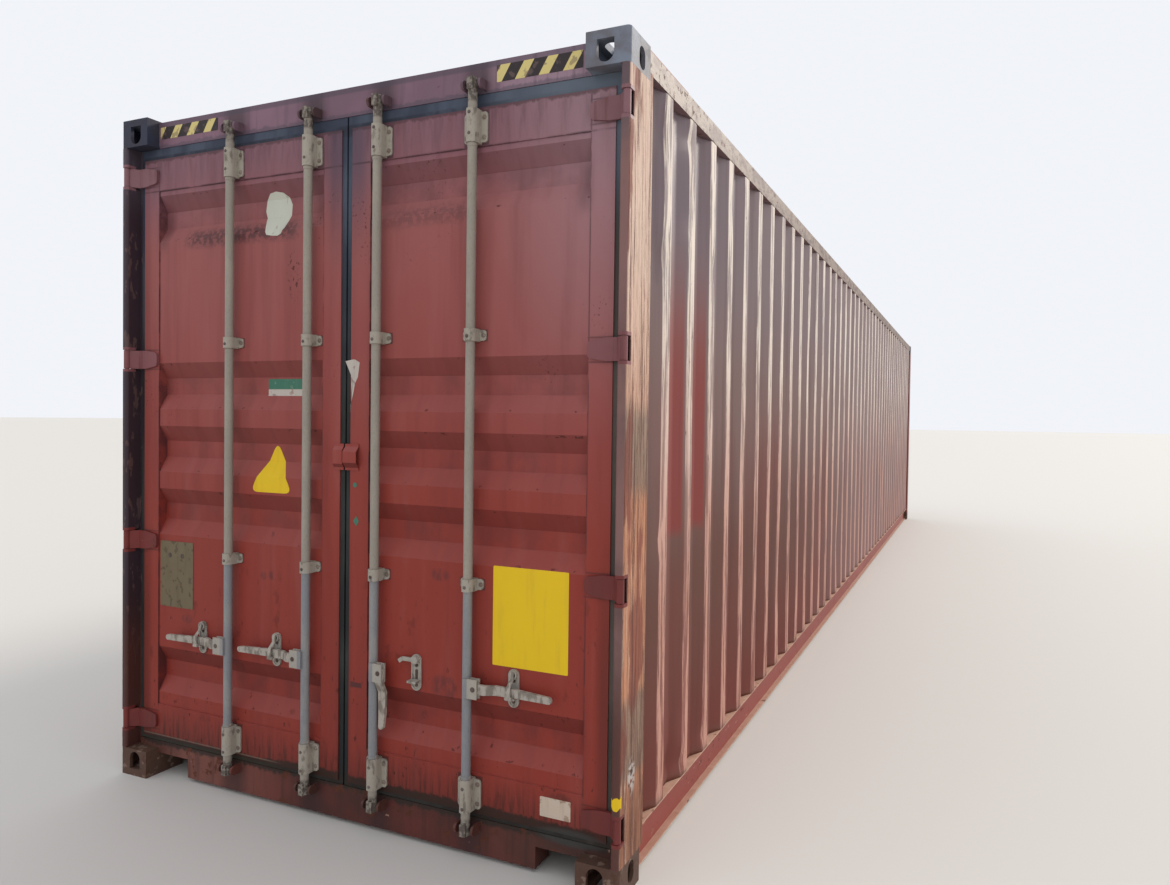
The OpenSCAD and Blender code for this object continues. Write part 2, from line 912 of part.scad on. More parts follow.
// Two lugs with the pin through them, shaped like the nose they are welded into
module hinge_lug() {
    for (end = [-1, 1])
        translate([0, 0, end * (blade_h / 2 + lug_gap + lug_t / 2) - lug_t / 2])
            linear_extrude(lug_t)
                intersection() {
                    nose_outline();
                    square([notch_l, nose_w]);
                }
    translate([hinge_pin_inset, hinge_pin_inset, -blade_h / 2 - lug_gap - lug_t])
        cylinder(r = hinge_pin_r, h = blade_h + 2 * (lug_gap + lug_t));
}

module nose_outline() {
    edge_rounded([nose_l / 2, nose_w / 2], nose_round);
    translate([0, nose_w])
        mirror([0, 1])
            edge_rounded([nose_l / 2, nose_w / 2], nose_round);
    translate([nose_round, 0])
        square([nose_l - nose_round, nose_w]);
}

module hinge_lugs(side) {
    color(red)
        at_corner(door_end, side)
            for (z = hinge_z)
                translate([0, 0, z])
                    hinge_lug();
}

module left_hinge_lugs() {
    hinge_lugs(left);
}

module right_hinge_lugs() {
    hinge_lugs(right);
}

// Upright frame of one door: two closed stiles, and channels across its top and bottom
module door_frame() {
    face = door_from_end;
    back = door_from_end + door_t;
    low_s = door_side_gap + stile_w;
    high_s = leaf_meeting - stile_w;
    for (s = [door_side_gap, high_s])
        shell_block([face, s, door_bottom], [back, s + stile_w, door_top], door_frame_t);
    for (span = [[door_bottom, door_bottom + bottom_member_h], [door_top - top_member_h, door_top]])
        difference() {
            block([face, low_s - over, span[0]], [back, high_s + over, span[1]]);
            block([face + door_frame_t, low_s, span[0] + door_frame_t],
                [back + over, high_s, span[1] - door_frame_t]);
        }
}

// Pressed sheet between the frame members, drawn in upright section
module door_panel() {
    low_s = door_side_gap + stile_w;
    high_s = leaf_meeting - stile_w;
    foot = door_bottom + bottom_member_h;
    head = door_top - top_member_h;
    mid = door_mid + recess_rise;
    middles = [foot + bottom_recess_rise, mid - recess_pitch, mid, mid + recess_pitch,
        head - top_recess_drop];
    translate([0, high_s, 0])
        rotate([90, 0, 0])
            linear_extrude(high_s - low_s)
                mirror([1, 0])
                    rotate(90)
                        folded_sheet(fold_line(foot, head, middles, recess_flat, recess_slope,
                            panel_face, panel_face + recess_depth), panel_t);
}

// Rubber seal round a door, with a lip on each edge
module door_gasket() {
    low = [door_side_gap, door_bottom];
    high = [leaf_meeting, door_top];
    outer_low = [post_w + seal_gap, sill_top + seal_gap];
    outer_high = [width / 2 - seal_meeting_gap, post_head - seal_gap];
    difference() {
        translate([seal_from_end, 0, 0])
            face_end(seal_l)
                difference() {
                    translate(outer_low)
                        square(outer_high - outer_low);
                    translate(low)
                        square(high - low);
                }
        translate([seal_from_end + seal_lip, 0, 0])
            face_end(seal_l - 2 * seal_lip)
                difference() {
                    translate(outer_low - [over, over])
                        square(outer_high - outer_low + 2 * [over, over]);
                    translate(low - [seal_body, seal_body])
                        square(high - low + 2 * [seal_body, seal_body]);
                }
    }
}

// Plan of a hinge blade: knuckle on the pin, an arm at 45 degrees and a plate on the door's face
module blade_plan() {
    half = blade_t / 2 * sqrt(2);
    front = door_from_end - blade_t;
    translate([hinge_pin_inset, hinge_pin_inset])
        circle(knuckle_r);
    polygon([[hinge_pin_inset - half / 2, hinge_pin_inset + half / 2], [front, front + half],
        [front, blade_end], [door_from_end, blade_end], [door_from_end, door_from_end - half],
        [hinge_pin_inset + half / 2, hinge_pin_inset - half / 2]]);
}

// Outline of a hinge blade seen from the end: it narrows past its waist to a tip with round corners
module blade_outline() {
    half = blade_tip_h / 2;
    tip = blade_end - blade_round;
    side = blade_h / 2;
    polygon([[-over, -side - over], [blade_waist, -side - over], [blade_waist, -side],
        [tip, -half], [tip, half], [blade_waist, side], [blade_waist, side + over],
        [-over, side + over]]);
    translate([tip - over, blade_round - half])
        square([blade_round + over, blade_tip_h - 2 * blade_round]);
    for (end = [-1, 1])
        translate([tip, end * (half - blade_round)])
            circle(blade_round);
}

module hinge_blade() {
    difference() {
        intersection() {
            translate([0, 0, -blade_h / 2])
                linear_extrude(blade_h)
                    blade_plan();
            translate([-over, 0, 0])
                face_end(door_from_end + 2 * over)
                    blade_outline();
        }
        translate([hinge_pin_inset, hinge_pin_inset, -blade_h])
            cylinder(r = hinge_pin_r + pin_clear, h = 2 * blade_h);
    }
}

module door_hinges() {
    for (z = hinge_z)
        translate([0, 0, z])
            hinge_blade();
}

// Places a piece on a lock rod's axis, given the rod's distance from the middle of the container
module on_rod(y) {
    translate([rod_from_end, width / 2 - y, 0])
        children();
}

// Housing that a rod turns in, bolted by a flange on each side to the face that lies at the given depth
module rod_bracket(seat, low_z, high_z, flange_low, flange_high) {
    back = seat - rod_from_end;
    difference() {
        union() {
            translate([0, 0, low_z])
                linear_extrude(high_z - low_z)
                    intersection() {
                        translate([-housing_r, -housing_r])
                            square([housing_r + back, 2 * housing_r]);
                        union() {
                            circle(housing_r);
                            translate([0, -housing_r])
                                square([back, 2 * housing_r]);
                        }
                    }
            translate([back - flange_t, 0, (flange_low + flange_high) / 2])
                face_end(flange_t)
                    round_plate(2 * flange_reach, flange_high - flange_low, flange_round);
        }
        translate([0, 0, low_z - over])
            cylinder(r = rod_r + pin_clear, h = high_z - low_z + 2 * over);
    }
}

module rod_brackets() {
    foot = door_bottom + end_bracket_inset;
    head = door_top - end_bracket_inset;
    for (y = [rod_inner, rod_outer])
        on_rod(y) {
            rod_bracket(door_from_end, foot, foot + end_bracket_h, foot + flange_outer_gap,
                foot + end_bracket_h - flange_inner_gap);
            rod_bracket(door_from_end, head - end_bracket_h, head,
                head - end_bracket_h + flange_inner_gap, head - flange_outer_gap);
            for (step = [-0.5, 0.5])
                translate([0, 0, door_mid + mid_bracket_rise + step * mid_bracket_pitch])
                    rod_bracket(panel_face, -mid_bracket_h / 2, mid_bracket_h / 2,
                        flange_mid_gap - mid_bracket_h / 2, mid_bracket_h / 2 - flange_mid_gap);
        }
}

// Catch on the door: a round-ended base plate with a raised rim, the ledge that the handle rests on
// and the eye that its latch turns in
module handle_catch() {
    ledge_top = handle_z - handle_mid_w / 2 - rest_gap;
    half_w = catch_w / 2 - ledge_inset;
    translate([0, -catch_out, 0]) {
        translate([catch_foot - catch_t, 0, handle_z + catch_rise])
            face_end(catch_t)
                rotate(90)
                    difference() {
                        stadium(catch_h, catch_w);
                        stadium(catch_h - 2 * catch_rim, catch_w - 2 * catch_rim);
                    }
        translate([catch_foot - catch_t / 2, 0, handle_z + catch_rise])
            face_end(catch_t / 2)
                rotate(90)
                    stadium(catch_h - catch_rim, catch_w - catch_rim);
        block([held_front - ledge_lip, -half_w, ledge_top - ledge_t], [catch_foot - catch_t / 4, half_w, ledge_top]);
        translate([catch_foot - catch_eye_l, 0, handle_z + catch_eye_rise])
            face_end(catch_eye_l - catch_t / 4)
                difference() {
                    circle(catch_eye_r);
                    circle(catch_eye_r - catch_rim);
                }
    }
}

module handle_catches() {
    for (y = [rod_inner, rod_outer])
        on_rod(y)
            handle_catch();
}

// Latch swung open, towards the middle of the container: a round head seated on the catch's eye, an
// arm and a bent end
module open_latch() {
    arm = latch_l - latch_h / 2;
    translate([catch_foot - catch_eye_l - latch_t + latch_seat, -catch_out, handle_z + catch_eye_rise])
        face_end(latch_t) {
            circle(catch_eye_r - latch_gap);
            translate([0, -latch_h / 2])
                square([arm, latch_h]);
            translate([arm, 0])
                rotate(-latch_bend)
                    translate([0, -latch_h / 2])
                        square([latch_tip_l, latch_h]);
        }
}

// Lock rod with its cams, collars and the hub that carries its handle's pivot
module lock_rod(side, y) {
    cheek_in = -handle_forward + handle_t / 2 + cheek_gap;
    cheek_out = -handle_forward - handle_t / 2 - cheek_gap;
    foot = door_bottom + end_bracket_inset + end_bracket_h;
    head = door_top - end_bracket_inset - end_bracket_h;
    color(grey)
        at_corner(door_end, side)
            on_rod(y) {
                translate([0, 0, lower_cam_z - cam_h / 2])
                    cylinder(r = rod_r, h = upper_cam_z - lower_cam_z + cam_h);
                for (z = [lower_cam_z, upper_cam_z])
                    block([-cam_front, -cam_t / 2, z - cam_h / 2], [cam_back, cam_t / 2, z + cam_h / 2]);
                translate([0, 0, foot + rest_gap])
                    cylinder(r = collar_r, h = collar_h);
                translate([0, 0, head - rest_gap - collar_h])
                    cylinder(r = collar_r, h = collar_h);
                translate([0, 0, handle_z - hub_h / 2]) {
                    block([cheek_out - cheek_t, -rod_r - 1, 0], [cheek_in + cheek_t, 0, hub_h]);
                    block([cheek_out - cheek_t, -pivot_out - hub_reach, 0], [cheek_out, 0, hub_h]);
                    block([cheek_in, -pivot_out - hub_reach, 0], [cheek_in + cheek_t, 0, hub_h]);
                }
                translate([cheek_out - cheek_t, -pivot_out, handle_z])
                    rotate([0, 90, 0])
                        cylinder(r = pivot_r, h = handle_t + 2 * (cheek_gap + cheek_t));
            }
}

// Handle: a flat bar with an eye on the pivot, drawn along its length from the pivot, that steps
// back by the joggle beyond its hub
module handle_bar(l) {
    tip = l - handle_tip_w / 2;
    catch = min(catch_out - pivot_out, tip - 1);
    start = -handle_w / 2 - over;
    difference() {
        intersection() {
            translate([-over, 0, 0])
                face_end(handle_t + handle_joggle + 2 * over) {
                    circle(handle_w / 2);
                    polygon([[0, -handle_w / 2 + 0.5], [catch, -handle_mid_w / 2],
                        [tip, -handle_tip_w / 2 + 0.3], [tip, handle_tip_w / 2 - 0.3],
                        [catch, handle_mid_w / 2], [0, handle_w / 2 - 0.5]]);
                    translate([tip, 0])
                        circle(handle_tip_w / 2);
                }
            translate([0, 0, -handle_w])
                linear_extrude(2 * handle_w)
                    polygon([[0, start], [0, joggle_start], [handle_joggle, joggle_end],
                        [handle_joggle, grip_start], [handle_joggle - grip_forward, handle_l + over],
                        [handle_joggle - grip_forward + handle_t, handle_l + over],
                        [handle_joggle + handle_t, grip_start], [handle_joggle + handle_t, joggle_end],
                        [handle_t, joggle_start], [handle_t, start]]);
        }
        translate([-over, 0, 0])
            rotate([0, 90, 0])
                cylinder(r = pivot_r + pin_clear, h = handle_t + 2 * over);
    }
}

// swing turns a handle down from level, outward from its rod
module door_handle(side, y, l, swing) {
    color(grey)
        at_corner(door_end, side)
            on_rod(y)
                translate([-handle_forward - handle_t / 2, -pivot_out, handle_z])
                    rotate([180 + swing, 0, 0])
                        handle_bar(l);
}

// One half of the customs cover at the middle of the doors: a folded sheet welded on by its flanges
module seal_cover(reach, proud) {
    foot = door_mid + seal_cover_rise - seal_cover_h / 2;
    head = foot + seal_cover_h;
    base = door_from_end - seal_cover_t;
    crest = door_from_end - proud;
    line = [[base, foot], [base, foot + seal_cover_lap], [crest, foot + seal_cover_lap + proud],
        [crest, head - seal_cover_lap - proud], [base, head - seal_cover_lap], [base, head]];
    translate([0, (width - seal_cover_gap) / 2, 0])
        rotate([90, 0, 0])
            linear_extrude(reach - seal_cover_gap / 2)
                polygon(concat(line, [for (i = [len(line) - 1:-1:0]) line[i] + [seal_cover_t, 0]]));
}

module left_door_frame() {
    color(red)
        at_corner(door_end, left)
            door_frame();
}

module left_door_panel() {
    color(red)
        at_corner(door_end, left)
            door_panel();
}

module left_door_gasket() {
    color("black")
        at_corner(door_end, left)
            door_gasket();
}

module left_door_hinges() {
    color(red)
        at_corner(door_end, left)
            door_hinges();
}

module left_rod_brackets() {
    color(grey)
        at_corner(door_end, left)
            rod_brackets();
}

module left_handle_catches() {
    color(grey)
        at_corner(door_end, left)
            handle_catches();
}

module right_door_frame() {
    color(red)
        at_corner(door_end, right)
            door_frame();
}

module right_door_panel() {
    color(red)
        at_corner(door_end, right)
            door_panel();
}

module right_door_gasket() {
    color("black")
        at_corner(door_end, right)
            door_gasket();
}

module right_door_hinges() {
    color(red)
        at_corner(door_end, right)
            door_hinges();
}

module left_seal_cover() {
    color(red)
        at_corner(door_end, left)
            seal_cover(left_cover_reach, left_cover_proud);
}

module right_seal_cover() {
    color(red)
        at_corner(door_end, right)
            seal_cover(right_cover_reach, right_cover_proud);
}

module right_rod_brackets() {
    color(grey)
        at_corner(door_end, right)
            rod_brackets();
}

module right_handle_catches() {
    color(grey)
        at_corner(door_end, right) {
            handle_catches();
            on_rod(rod_inner)
                open_latch();
        }
}

module lock_rod_1() {
    lock_rod(left, rod_outer);
}

module lock_rod_2() {
    lock_rod(left, rod_inner);
}

module lock_rod_3() {
    lock_rod(right, rod_inner);
}

module lock_rod_4() {
    lock_rod(right, rod_outer);
}

module door_handle_1() {
    door_handle(left, rod_outer, handle_l, 0);
}

module door_handle_2() {
    door_handle(left, rod_inner, handle_l, 0);
}

module door_handle_3() {
    door_handle(right, rod_inner, hanging_handle_l, 90);
}

module door_handle_4() {
    door_handle(right, rod_outer, handle_l, 0);
}

bottom_corner_castings();
top_corner_castings();
left_door_post();
right_door_post();
front_corner_posts();
door_header();
door_sill();
front_top_rail();
front_bottom_rail();
top_side_rails();
bottom_side_rails();
left_side_wall();
right_side_wall();
front_wall();
roof();
roof_corner_plates();
floor();
cross_members();
gooseneck_tunnel();
cam_keepers();
left_hinge_lugs();
right_hinge_lugs();
left_door_frame();
left_door_panel();
left_door_gasket();
left_door_hinges();
left_rod_brackets();
left_handle_catches();
left_seal_cover();
right_door_frame();
right_door_panel();
right_door_gasket();
right_door_hinges();
right_rod_brackets();
right_handle_catches();
right_seal_cover();
lock_rod_1();
lock_rod_2();
lock_rod_3();
lock_rod_4();
door_handle_1();
door_handle_2();
door_handle_3();
door_handle_4();
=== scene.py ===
# %% [markdown]
# # A worn forty-foot freight container
# This lesson dresses a steel freight container: two end doors with lock rods, a long corrugated
# side, cast corners, and the paint that years outdoors have faded, scratched and streaked with rust.
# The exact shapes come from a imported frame, and every cell below adds a finish, a small fitting or
# some wear. All lengths are in metres. The doors face -X, the length runs along X, and Z is up.

# %% Load the frame
import math
import random

import bmesh
import bpy
from mathutils import Matrix, Vector, noise


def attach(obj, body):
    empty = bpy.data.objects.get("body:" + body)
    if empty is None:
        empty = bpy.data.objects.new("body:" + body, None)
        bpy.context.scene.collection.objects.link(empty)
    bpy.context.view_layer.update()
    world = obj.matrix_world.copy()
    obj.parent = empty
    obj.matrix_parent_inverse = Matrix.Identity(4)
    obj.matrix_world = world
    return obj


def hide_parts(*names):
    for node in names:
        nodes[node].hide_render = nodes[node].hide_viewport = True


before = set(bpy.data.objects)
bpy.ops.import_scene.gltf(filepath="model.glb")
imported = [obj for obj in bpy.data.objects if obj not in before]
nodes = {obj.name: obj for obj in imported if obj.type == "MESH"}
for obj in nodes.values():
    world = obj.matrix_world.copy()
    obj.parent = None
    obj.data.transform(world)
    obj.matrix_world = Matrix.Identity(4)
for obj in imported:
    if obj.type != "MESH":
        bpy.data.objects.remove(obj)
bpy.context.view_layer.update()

# %% [markdown]
# The small pieces have to sit exactly on the big ones, so the lesson first names the few real sizes
# it needs. Depth always means the distance in from the door end, and inset the distance in from a side.

# %% Name the sizes that the new pieces share
LENGTH, WIDTH, HEIGHT = 12.192, 2.438, 2.896
END_X = -LENGTH / 2
SIDE_Y = WIDTH / 2
DOOR_DEPTH = 0.057
PANEL_DEPTH = 0.061
BEAM_DEPTH = 0.060
ROD_DEPTH, ROD_R = 0.029, 0.017
DOOR_FOOT, DOOR_HEAD = 0.167, 2.730
HEADER_TOP = 2.890
RECESS_DEPTH, RECESS_FLAT, RECESS_SLOPE = 0.036, 0.071, 0.066
RECESS_MIDDLES = (0.475, 1.1795, 1.4565, 1.7335, 2.467)
ROD_Y = (0.596, 0.171, -0.171, -0.596)
DOOR_OF_ROD = ("left_door", "left_door", "right_door", "right_door")
print("door from", DOOR_FOOT, "to", DOOR_HEAD, "m above the ground")

# %% [markdown]
# The camera stands a little above eye level, close to the door end, and looks along the container.
# A photograph fixes nine numbers: three for the place, three angles, the focal length, and two for
# where the lens's axis meets the picture. Two of the angles give the view direction, and the third
# is a slight roll. Building the matrix from the view's own right, up and forward axes avoids a tangle
# of Euler angles.

# %% Set up the camera
CAMERA_AT = Vector((-8.5599, -2.2769, 1.6167))
AZIMUTH, ELEVATION, ROLL = 23.361, -1.185, 0.810
PICTURE_W = 1170
FOCAL_LENGTH_PX, CENTRE_RIGHT_PX, CENTRE_DOWN_PX = 820.03, 38.18, -6.61
SENSOR_MM = 36


def camera_axes(azimuth, elevation, roll):
    """The view's right, up and forward directions, from angles in degrees."""
    azimuth, elevation, roll = (math.radians(a) for a in (azimuth, elevation, roll))
    forward = Vector((math.cos(elevation) * math.cos(azimuth),
                      math.cos(elevation) * math.sin(azimuth), math.sin(elevation)))
    level = forward.cross(Vector((0, 0, 1))).normalized()
    above = level.cross(forward)
    right = math.cos(roll) * level + math.sin(roll) * above
    return right, right.cross(forward), forward


right, up, forward = camera_axes(AZIMUTH, ELEVATION, ROLL)
camera = bpy.data.objects.new("camera", bpy.data.cameras.new("camera"))
bpy.context.scene.collection.objects.link(camera)
camera.matrix_world = Matrix((
    (right.x, up.x, -forward.x, CAMERA_AT.x),
    (right.y, up.y, -forward.y, CAMERA_AT.y),
    (right.z, up.z, -forward.z, CAMERA_AT.z),
    (0, 0, 0, 1)))
camera.data.sensor_fit = "HORIZONTAL"
camera.data.sensor_width = SENSOR_MM
camera.data.lens = FOCAL_LENGTH_PX / PICTURE_W * SENSOR_MM
camera.data.shift_x = -CENTRE_RIGHT_PX / PICTURE_W
camera.data.shift_y = CENTRE_DOWN_PX / PICTURE_W
camera.data.clip_end = 500
bpy.context.scene.camera = camera
bpy.context.scene.view_settings.view_transform = "Standard"
print("lens:", round(camera.data.lens, 2), "mm")

# %% [markdown]
# A finish is a recipe of masks: how faded, how dusty, how rusty each spot is. Written node by node,
# a recipe is unreadable, so one small class wraps a socket and lends it the signs of arithmetic, and
# a second one holds the material. A line such as `rust * (1 - dust)` then adds its own Math nodes.
# Masks read the Object coordinates, so they stay on a door when it swings.

# %% Wrap a socket so that it can be added and multiplied
def colour(red, green, blue):
    """A colour as it looks on a screen, 0 to 255, turned into the linear numbers a shader takes."""
    def linear(c):
        c /= 255
        return c / 12.92 if c <= 0.04045 else ((c + 0.055) / 1.055) ** 2.4
    return (linear(red), linear(green), linear(blue), 1)


class Value:
    """One output of a shader node. Arithmetic on it adds Math nodes."""

    def __init__(self, finish, socket):
        self.finish = finish
        self.socket = socket

    def __add__(self, other):
        return self.finish.maths("ADD", self, other)

    def __sub__(self, other):
        return self.finish.maths("SUBTRACT", self, other)

    def __rsub__(self, other):
        return self.finish.maths("SUBTRACT", other, self)

    def __mul__(self, other):
        return self.finish.maths("MULTIPLY", self, other)

    def __truediv__(self, other):
        return self.finish.maths("DIVIDE", self, other)

    def __abs__(self):
        return self.finish.maths("ABSOLUTE", self, 0)

    __radd__ = __add__
    __rmul__ = __mul__


print("a maroon in linear numbers:", [round(c, 3) for c in colour(128, 60, 52)])

# %% Collect a material's nodes in one class
class Finish:
    """A material being built. Every node comes from node(), and the rest are short names for it."""

    def __init__(self, name):
        self.material = bpy.data.materials.new(name)
        self.material.use_nodes = True
        self.tree = self.material.node_tree
        self.shader = self.tree.nodes["Principled BSDF"]
        self.place = self.node("ShaderNodeTexCoord", out="Object")
        parts = self.node("ShaderNodeSeparateXYZ", values={0: self.place}).socket.node
        self.x, self.y, self.z = (Value(self, output) for output in parts.outputs)
        self.depth = self.x - END_X
        facing = self.node("ShaderNodeTexCoord", out="Normal")
        slopes = self.node("ShaderNodeSeparateXYZ", values={0: facing}).socket.node
        self.tilt = Value(self, slopes.outputs["Z"])

    def node(self, kind, settings=(), values=(), out=0):
        """Adds a node: its settings first, then a number, a colour or a link for each socket named."""
        made = self.tree.nodes.new(kind)
        for name, setting in dict(settings).items():
            setattr(made, name, setting)
        for name, value in dict(values).items():
            self.feed(made.inputs[name], value)
        return Value(self, made.outputs[out])

    def feed(self, socket, value):
        if isinstance(value, Value):
            self.tree.links.new(value.socket, socket)
        else:
            socket.default_value = value

    def maths(self, operation, a, b):
        return self.node("ShaderNodeMath", {"operation": operation}, {0: a, 1: b})

    def ramp(self, value, start, stop):
        """0 up to start and 1 from stop, with a smooth rise between. Start may be above stop."""
        return self.node("ShaderNodeMapRange", {"interpolation_type": "SMOOTHSTEP"},
                         {"Value": value, "From Min": start, "From Max": stop})

    def grain(self, scale, detail=5, stretch=(1, 1, 1), rough=0.55, shift=0):
        """Noise from 0 to 1, with features about 1/scale metres across, stretched along an axis."""
        place = self.place
        if stretch != (1, 1, 1) or shift:
            place = self.node("ShaderNodeVectorMath", {"operation": "MULTIPLY_ADD"},
                              {0: place, 1: stretch, 2: (shift, shift, shift)})
        return self.node("ShaderNodeTexNoise", {"noise_dimensions": "3D"},
                         {"Vector": place, "Scale": scale, "Detail": detail, "Roughness": rough})

    def patches(self, scale, cover, soft=0.03, **how):
        """A mask that noise breaks into patches; cover is about the share that they fill."""
        edge = 0.5 + 0.22 * (0.5 - cover)
        return self.ramp(self.grain(scale, **how), edge - soft, edge + soft)

    def band(self, value, low, high, soft):
        """1 between low and high, and 0 beyond a soft edge on each side."""
        return self.ramp(value, low - soft, low + soft) * self.ramp(value, high + soft, high - soft)

    def most(self, first, *others):
        """The largest of several masks."""
        for other in others:
            first = self.maths("MAXIMUM", first, other)
        return first

    def nearest(self, value, places):
        """Distance from a value to the nearest of several places."""
        gap = abs(value - places[0])
        for place in places[1:]:
            gap = self.maths("MINIMUM", gap, abs(value - place))
        return gap

    def smudge(self, y, z, half_w, half_h, along=None):
        """A soft oval mark on the door end. Along, where it is given, is measured instead of y."""
        across, up = ((along or self.y) - y) / half_w, (self.z - z) / half_h
        return self.ramp(across * across + up * up, 1.0, 0.2)

    def mix(self, mask, under, over):
        return self.node("ShaderNodeMix", {"data_type": "RGBA"}, {0: mask, 6: under, 7: over}, out=2)

    def over(self, under, mask, red, green, blue):
        """The colour under, with another colour over it where the mask is 1."""
        return self.mix(mask, under, colour(red, green, blue))

    def done(self, base, rough, bump=None, strength=0.3, distance=0.002, gloss=0.3):
        """Feeds the shader and gives the material. Gloss is how much a clean surface mirrors."""
        self.feed(self.shader.inputs["Specular IOR Level"], gloss)
        self.feed(self.shader.inputs["Base Color"], base)
        self.feed(self.shader.inputs["Roughness"], rough)
        if bump is not None:
            normal = self.node("ShaderNodeBump", values={
                "Strength": strength, "Distance": distance, "Height": bump})
            self.feed(self.shader.inputs["Normal"], normal)
        print("finish", self.material.name, "has", len(self.tree.nodes), "nodes")
        return self.material


print("operators:", [n for n in dir(Value) if n.startswith("__r") and n != "__repr__"])

# %% [markdown]
# The door paint is a maroon that the sun has turned hazy and pinkish towards the top, with a painted
# sky reflection in that haze, while the lower half keeps its red. Slopes that face up are lighter with
# dust and painted sky light, folds that face down are painted in shade, and rain has drawn faint upright
# streaks. Rust freckles cluster at the folds and near the foot. Height and depth are known exactly, so
# plain ramps on them place each effect.

# %% Mix the door paint
PANEL_FOOT, PANEL_HEAD = 0.317, 2.590
PANEL_EDGES = (0.117, 1.055)
HINGE_Z, HINGE_HALF_H = (0.244, 1.047, 1.850, 2.653), 0.040


def door_paint():
    f = Finish("door_paint")
    cloud = f.grain(1.3, detail=3)
    # Towards the top the paint is faded, and a painted reflection of the sky pales it further.
    haze_and_sky_sheen = f.ramp(f.z + 0.8 * cloud, 1.35, 3.0)
    base = f.mix(haze_and_sky_sheen, colour(144, 57, 47), colour(154, 90, 88))
    # The mauve band near the head is a painted reflection of the sky.
    base = f.over(base, 0.75 * f.ramp(f.z + 0.2 * cloud, 2.40, 2.82), 124, 94, 108)
    # The upper right of the right door is bleached to a pale lilac.
    paler_region = f.ramp(f.y, -0.55, -1.15) * f.ramp(f.z, 1.5, 2.5)
    base = f.over(base, 0.55 * paler_region, 164, 136, 144)
    streaks = f.ramp(f.grain(7, detail=6, stretch=(1, 2.6, 0.16)), 0.44, 0.74)
    base = f.over(base, 0.24 * streaks, 98, 44, 42)
    pale = f.ramp(f.grain(5, detail=5, stretch=(1, 2.2, 0.22), shift=4), 0.50, 0.75)
    base = f.over(base, 0.16 * pale, 166, 106, 100)
    # Slopes that face up are lighter: dust, and painted light from the sky above.
    dust_and_skylight = f.ramp(f.tilt, 0.25, 0.8)
    base = f.over(base, 0.38 * dust_and_skylight, 168, 108, 104)
    # Folds that face down are painted in shade, more deeply towards the foot.
    shade = f.ramp(f.tilt, -0.2, -0.75)
    base = f.over(base, shade * (0.60 + 0.22 * f.ramp(f.z, 1.0, 0.5)), 80, 34, 34)
    foot = f.ramp(f.z + 0.10 * cloud, 0.40, 0.16)
    base = f.over(base, 0.5 * foot, 60, 32, 29)
    centre_head = f.ramp(abs(f.y), 0.125, 0.06) * f.ramp(f.z + 0.1 * cloud, 2.15, 2.72)
    base = f.over(base, 0.65 * centre_head, 74, 66, 82)
    grime = f.mix(f.ramp(f.z, 0.5, 0.2), colour(66, 46, 50), colour(46, 36, 30))
    # Grime, with painted shade at the head and round the gear, darkens the paint here.
    base = f.mix(f.most(door_grime_and_shade(f, cloud), gear_shade_and_grime(f)), base, grime)
    edges = f.most(f.ramp(abs(f.y), 1.085, 1.125), f.ramp(abs(f.y), 0.05, 0.02)) * f.ramp(f.z, 1.3, 0.7)
    base = f.over(base, 0.45 * edges, 84, 42, 36)
    base = f.over(base, 0.8 * f.smudge(-1.01, 0.163, 0.16, 0.030), 62, 62, 60)
    seal_lip = f.band(f.z, 0.1765, 0.1815, 0.002) * f.ramp(f.y, 0.30, 0.42)
    base = f.over(base, 0.7 * seal_lip, 118, 100, 88)
    rust = door_rust(f)
    base = f.over(base, 0.7 * rust, 70, 38, 32)
    dents = f.grain(3.5, detail=2)
    return f.done(base, 0.44 + 0.14 * f.grain(6) + 0.25 * rust,
                  bump=dents + 0.05 * f.grain(120, detail=2) + 0.2 * rust, strength=0.5, distance=0.004,
                  gloss=0.22)


print("panel from", PANEL_FOOT, "to", PANEL_HEAD, "m above the ground")

# %% Place the grime on the doors
# Smudges as (y, height, half width, half height).
DOOR_SMUDGES = (
    (0.408, 1.116, 0.018, 0.014), (0.441, 1.072, 0.014, 0.012), (0.375, 0.950, 0.034, 0.026),
    (0.430, 0.945, 0.022, 0.022), (0.880, 0.715, 0.040, 0.024), (-0.475, 0.610, 0.075, 0.055),
    (-0.451, 1.026, 0.050, 0.030), (-0.561, 1.120, 0.018, 0.050), (-0.968, 0.285, 0.060, 0.030),
)


def ragged_edge(f):
    """Noise that frays the edge of a patch of grime."""
    return f.grain(26, detail=6, stretch=(1, 1, 0.5), rough=0.7)


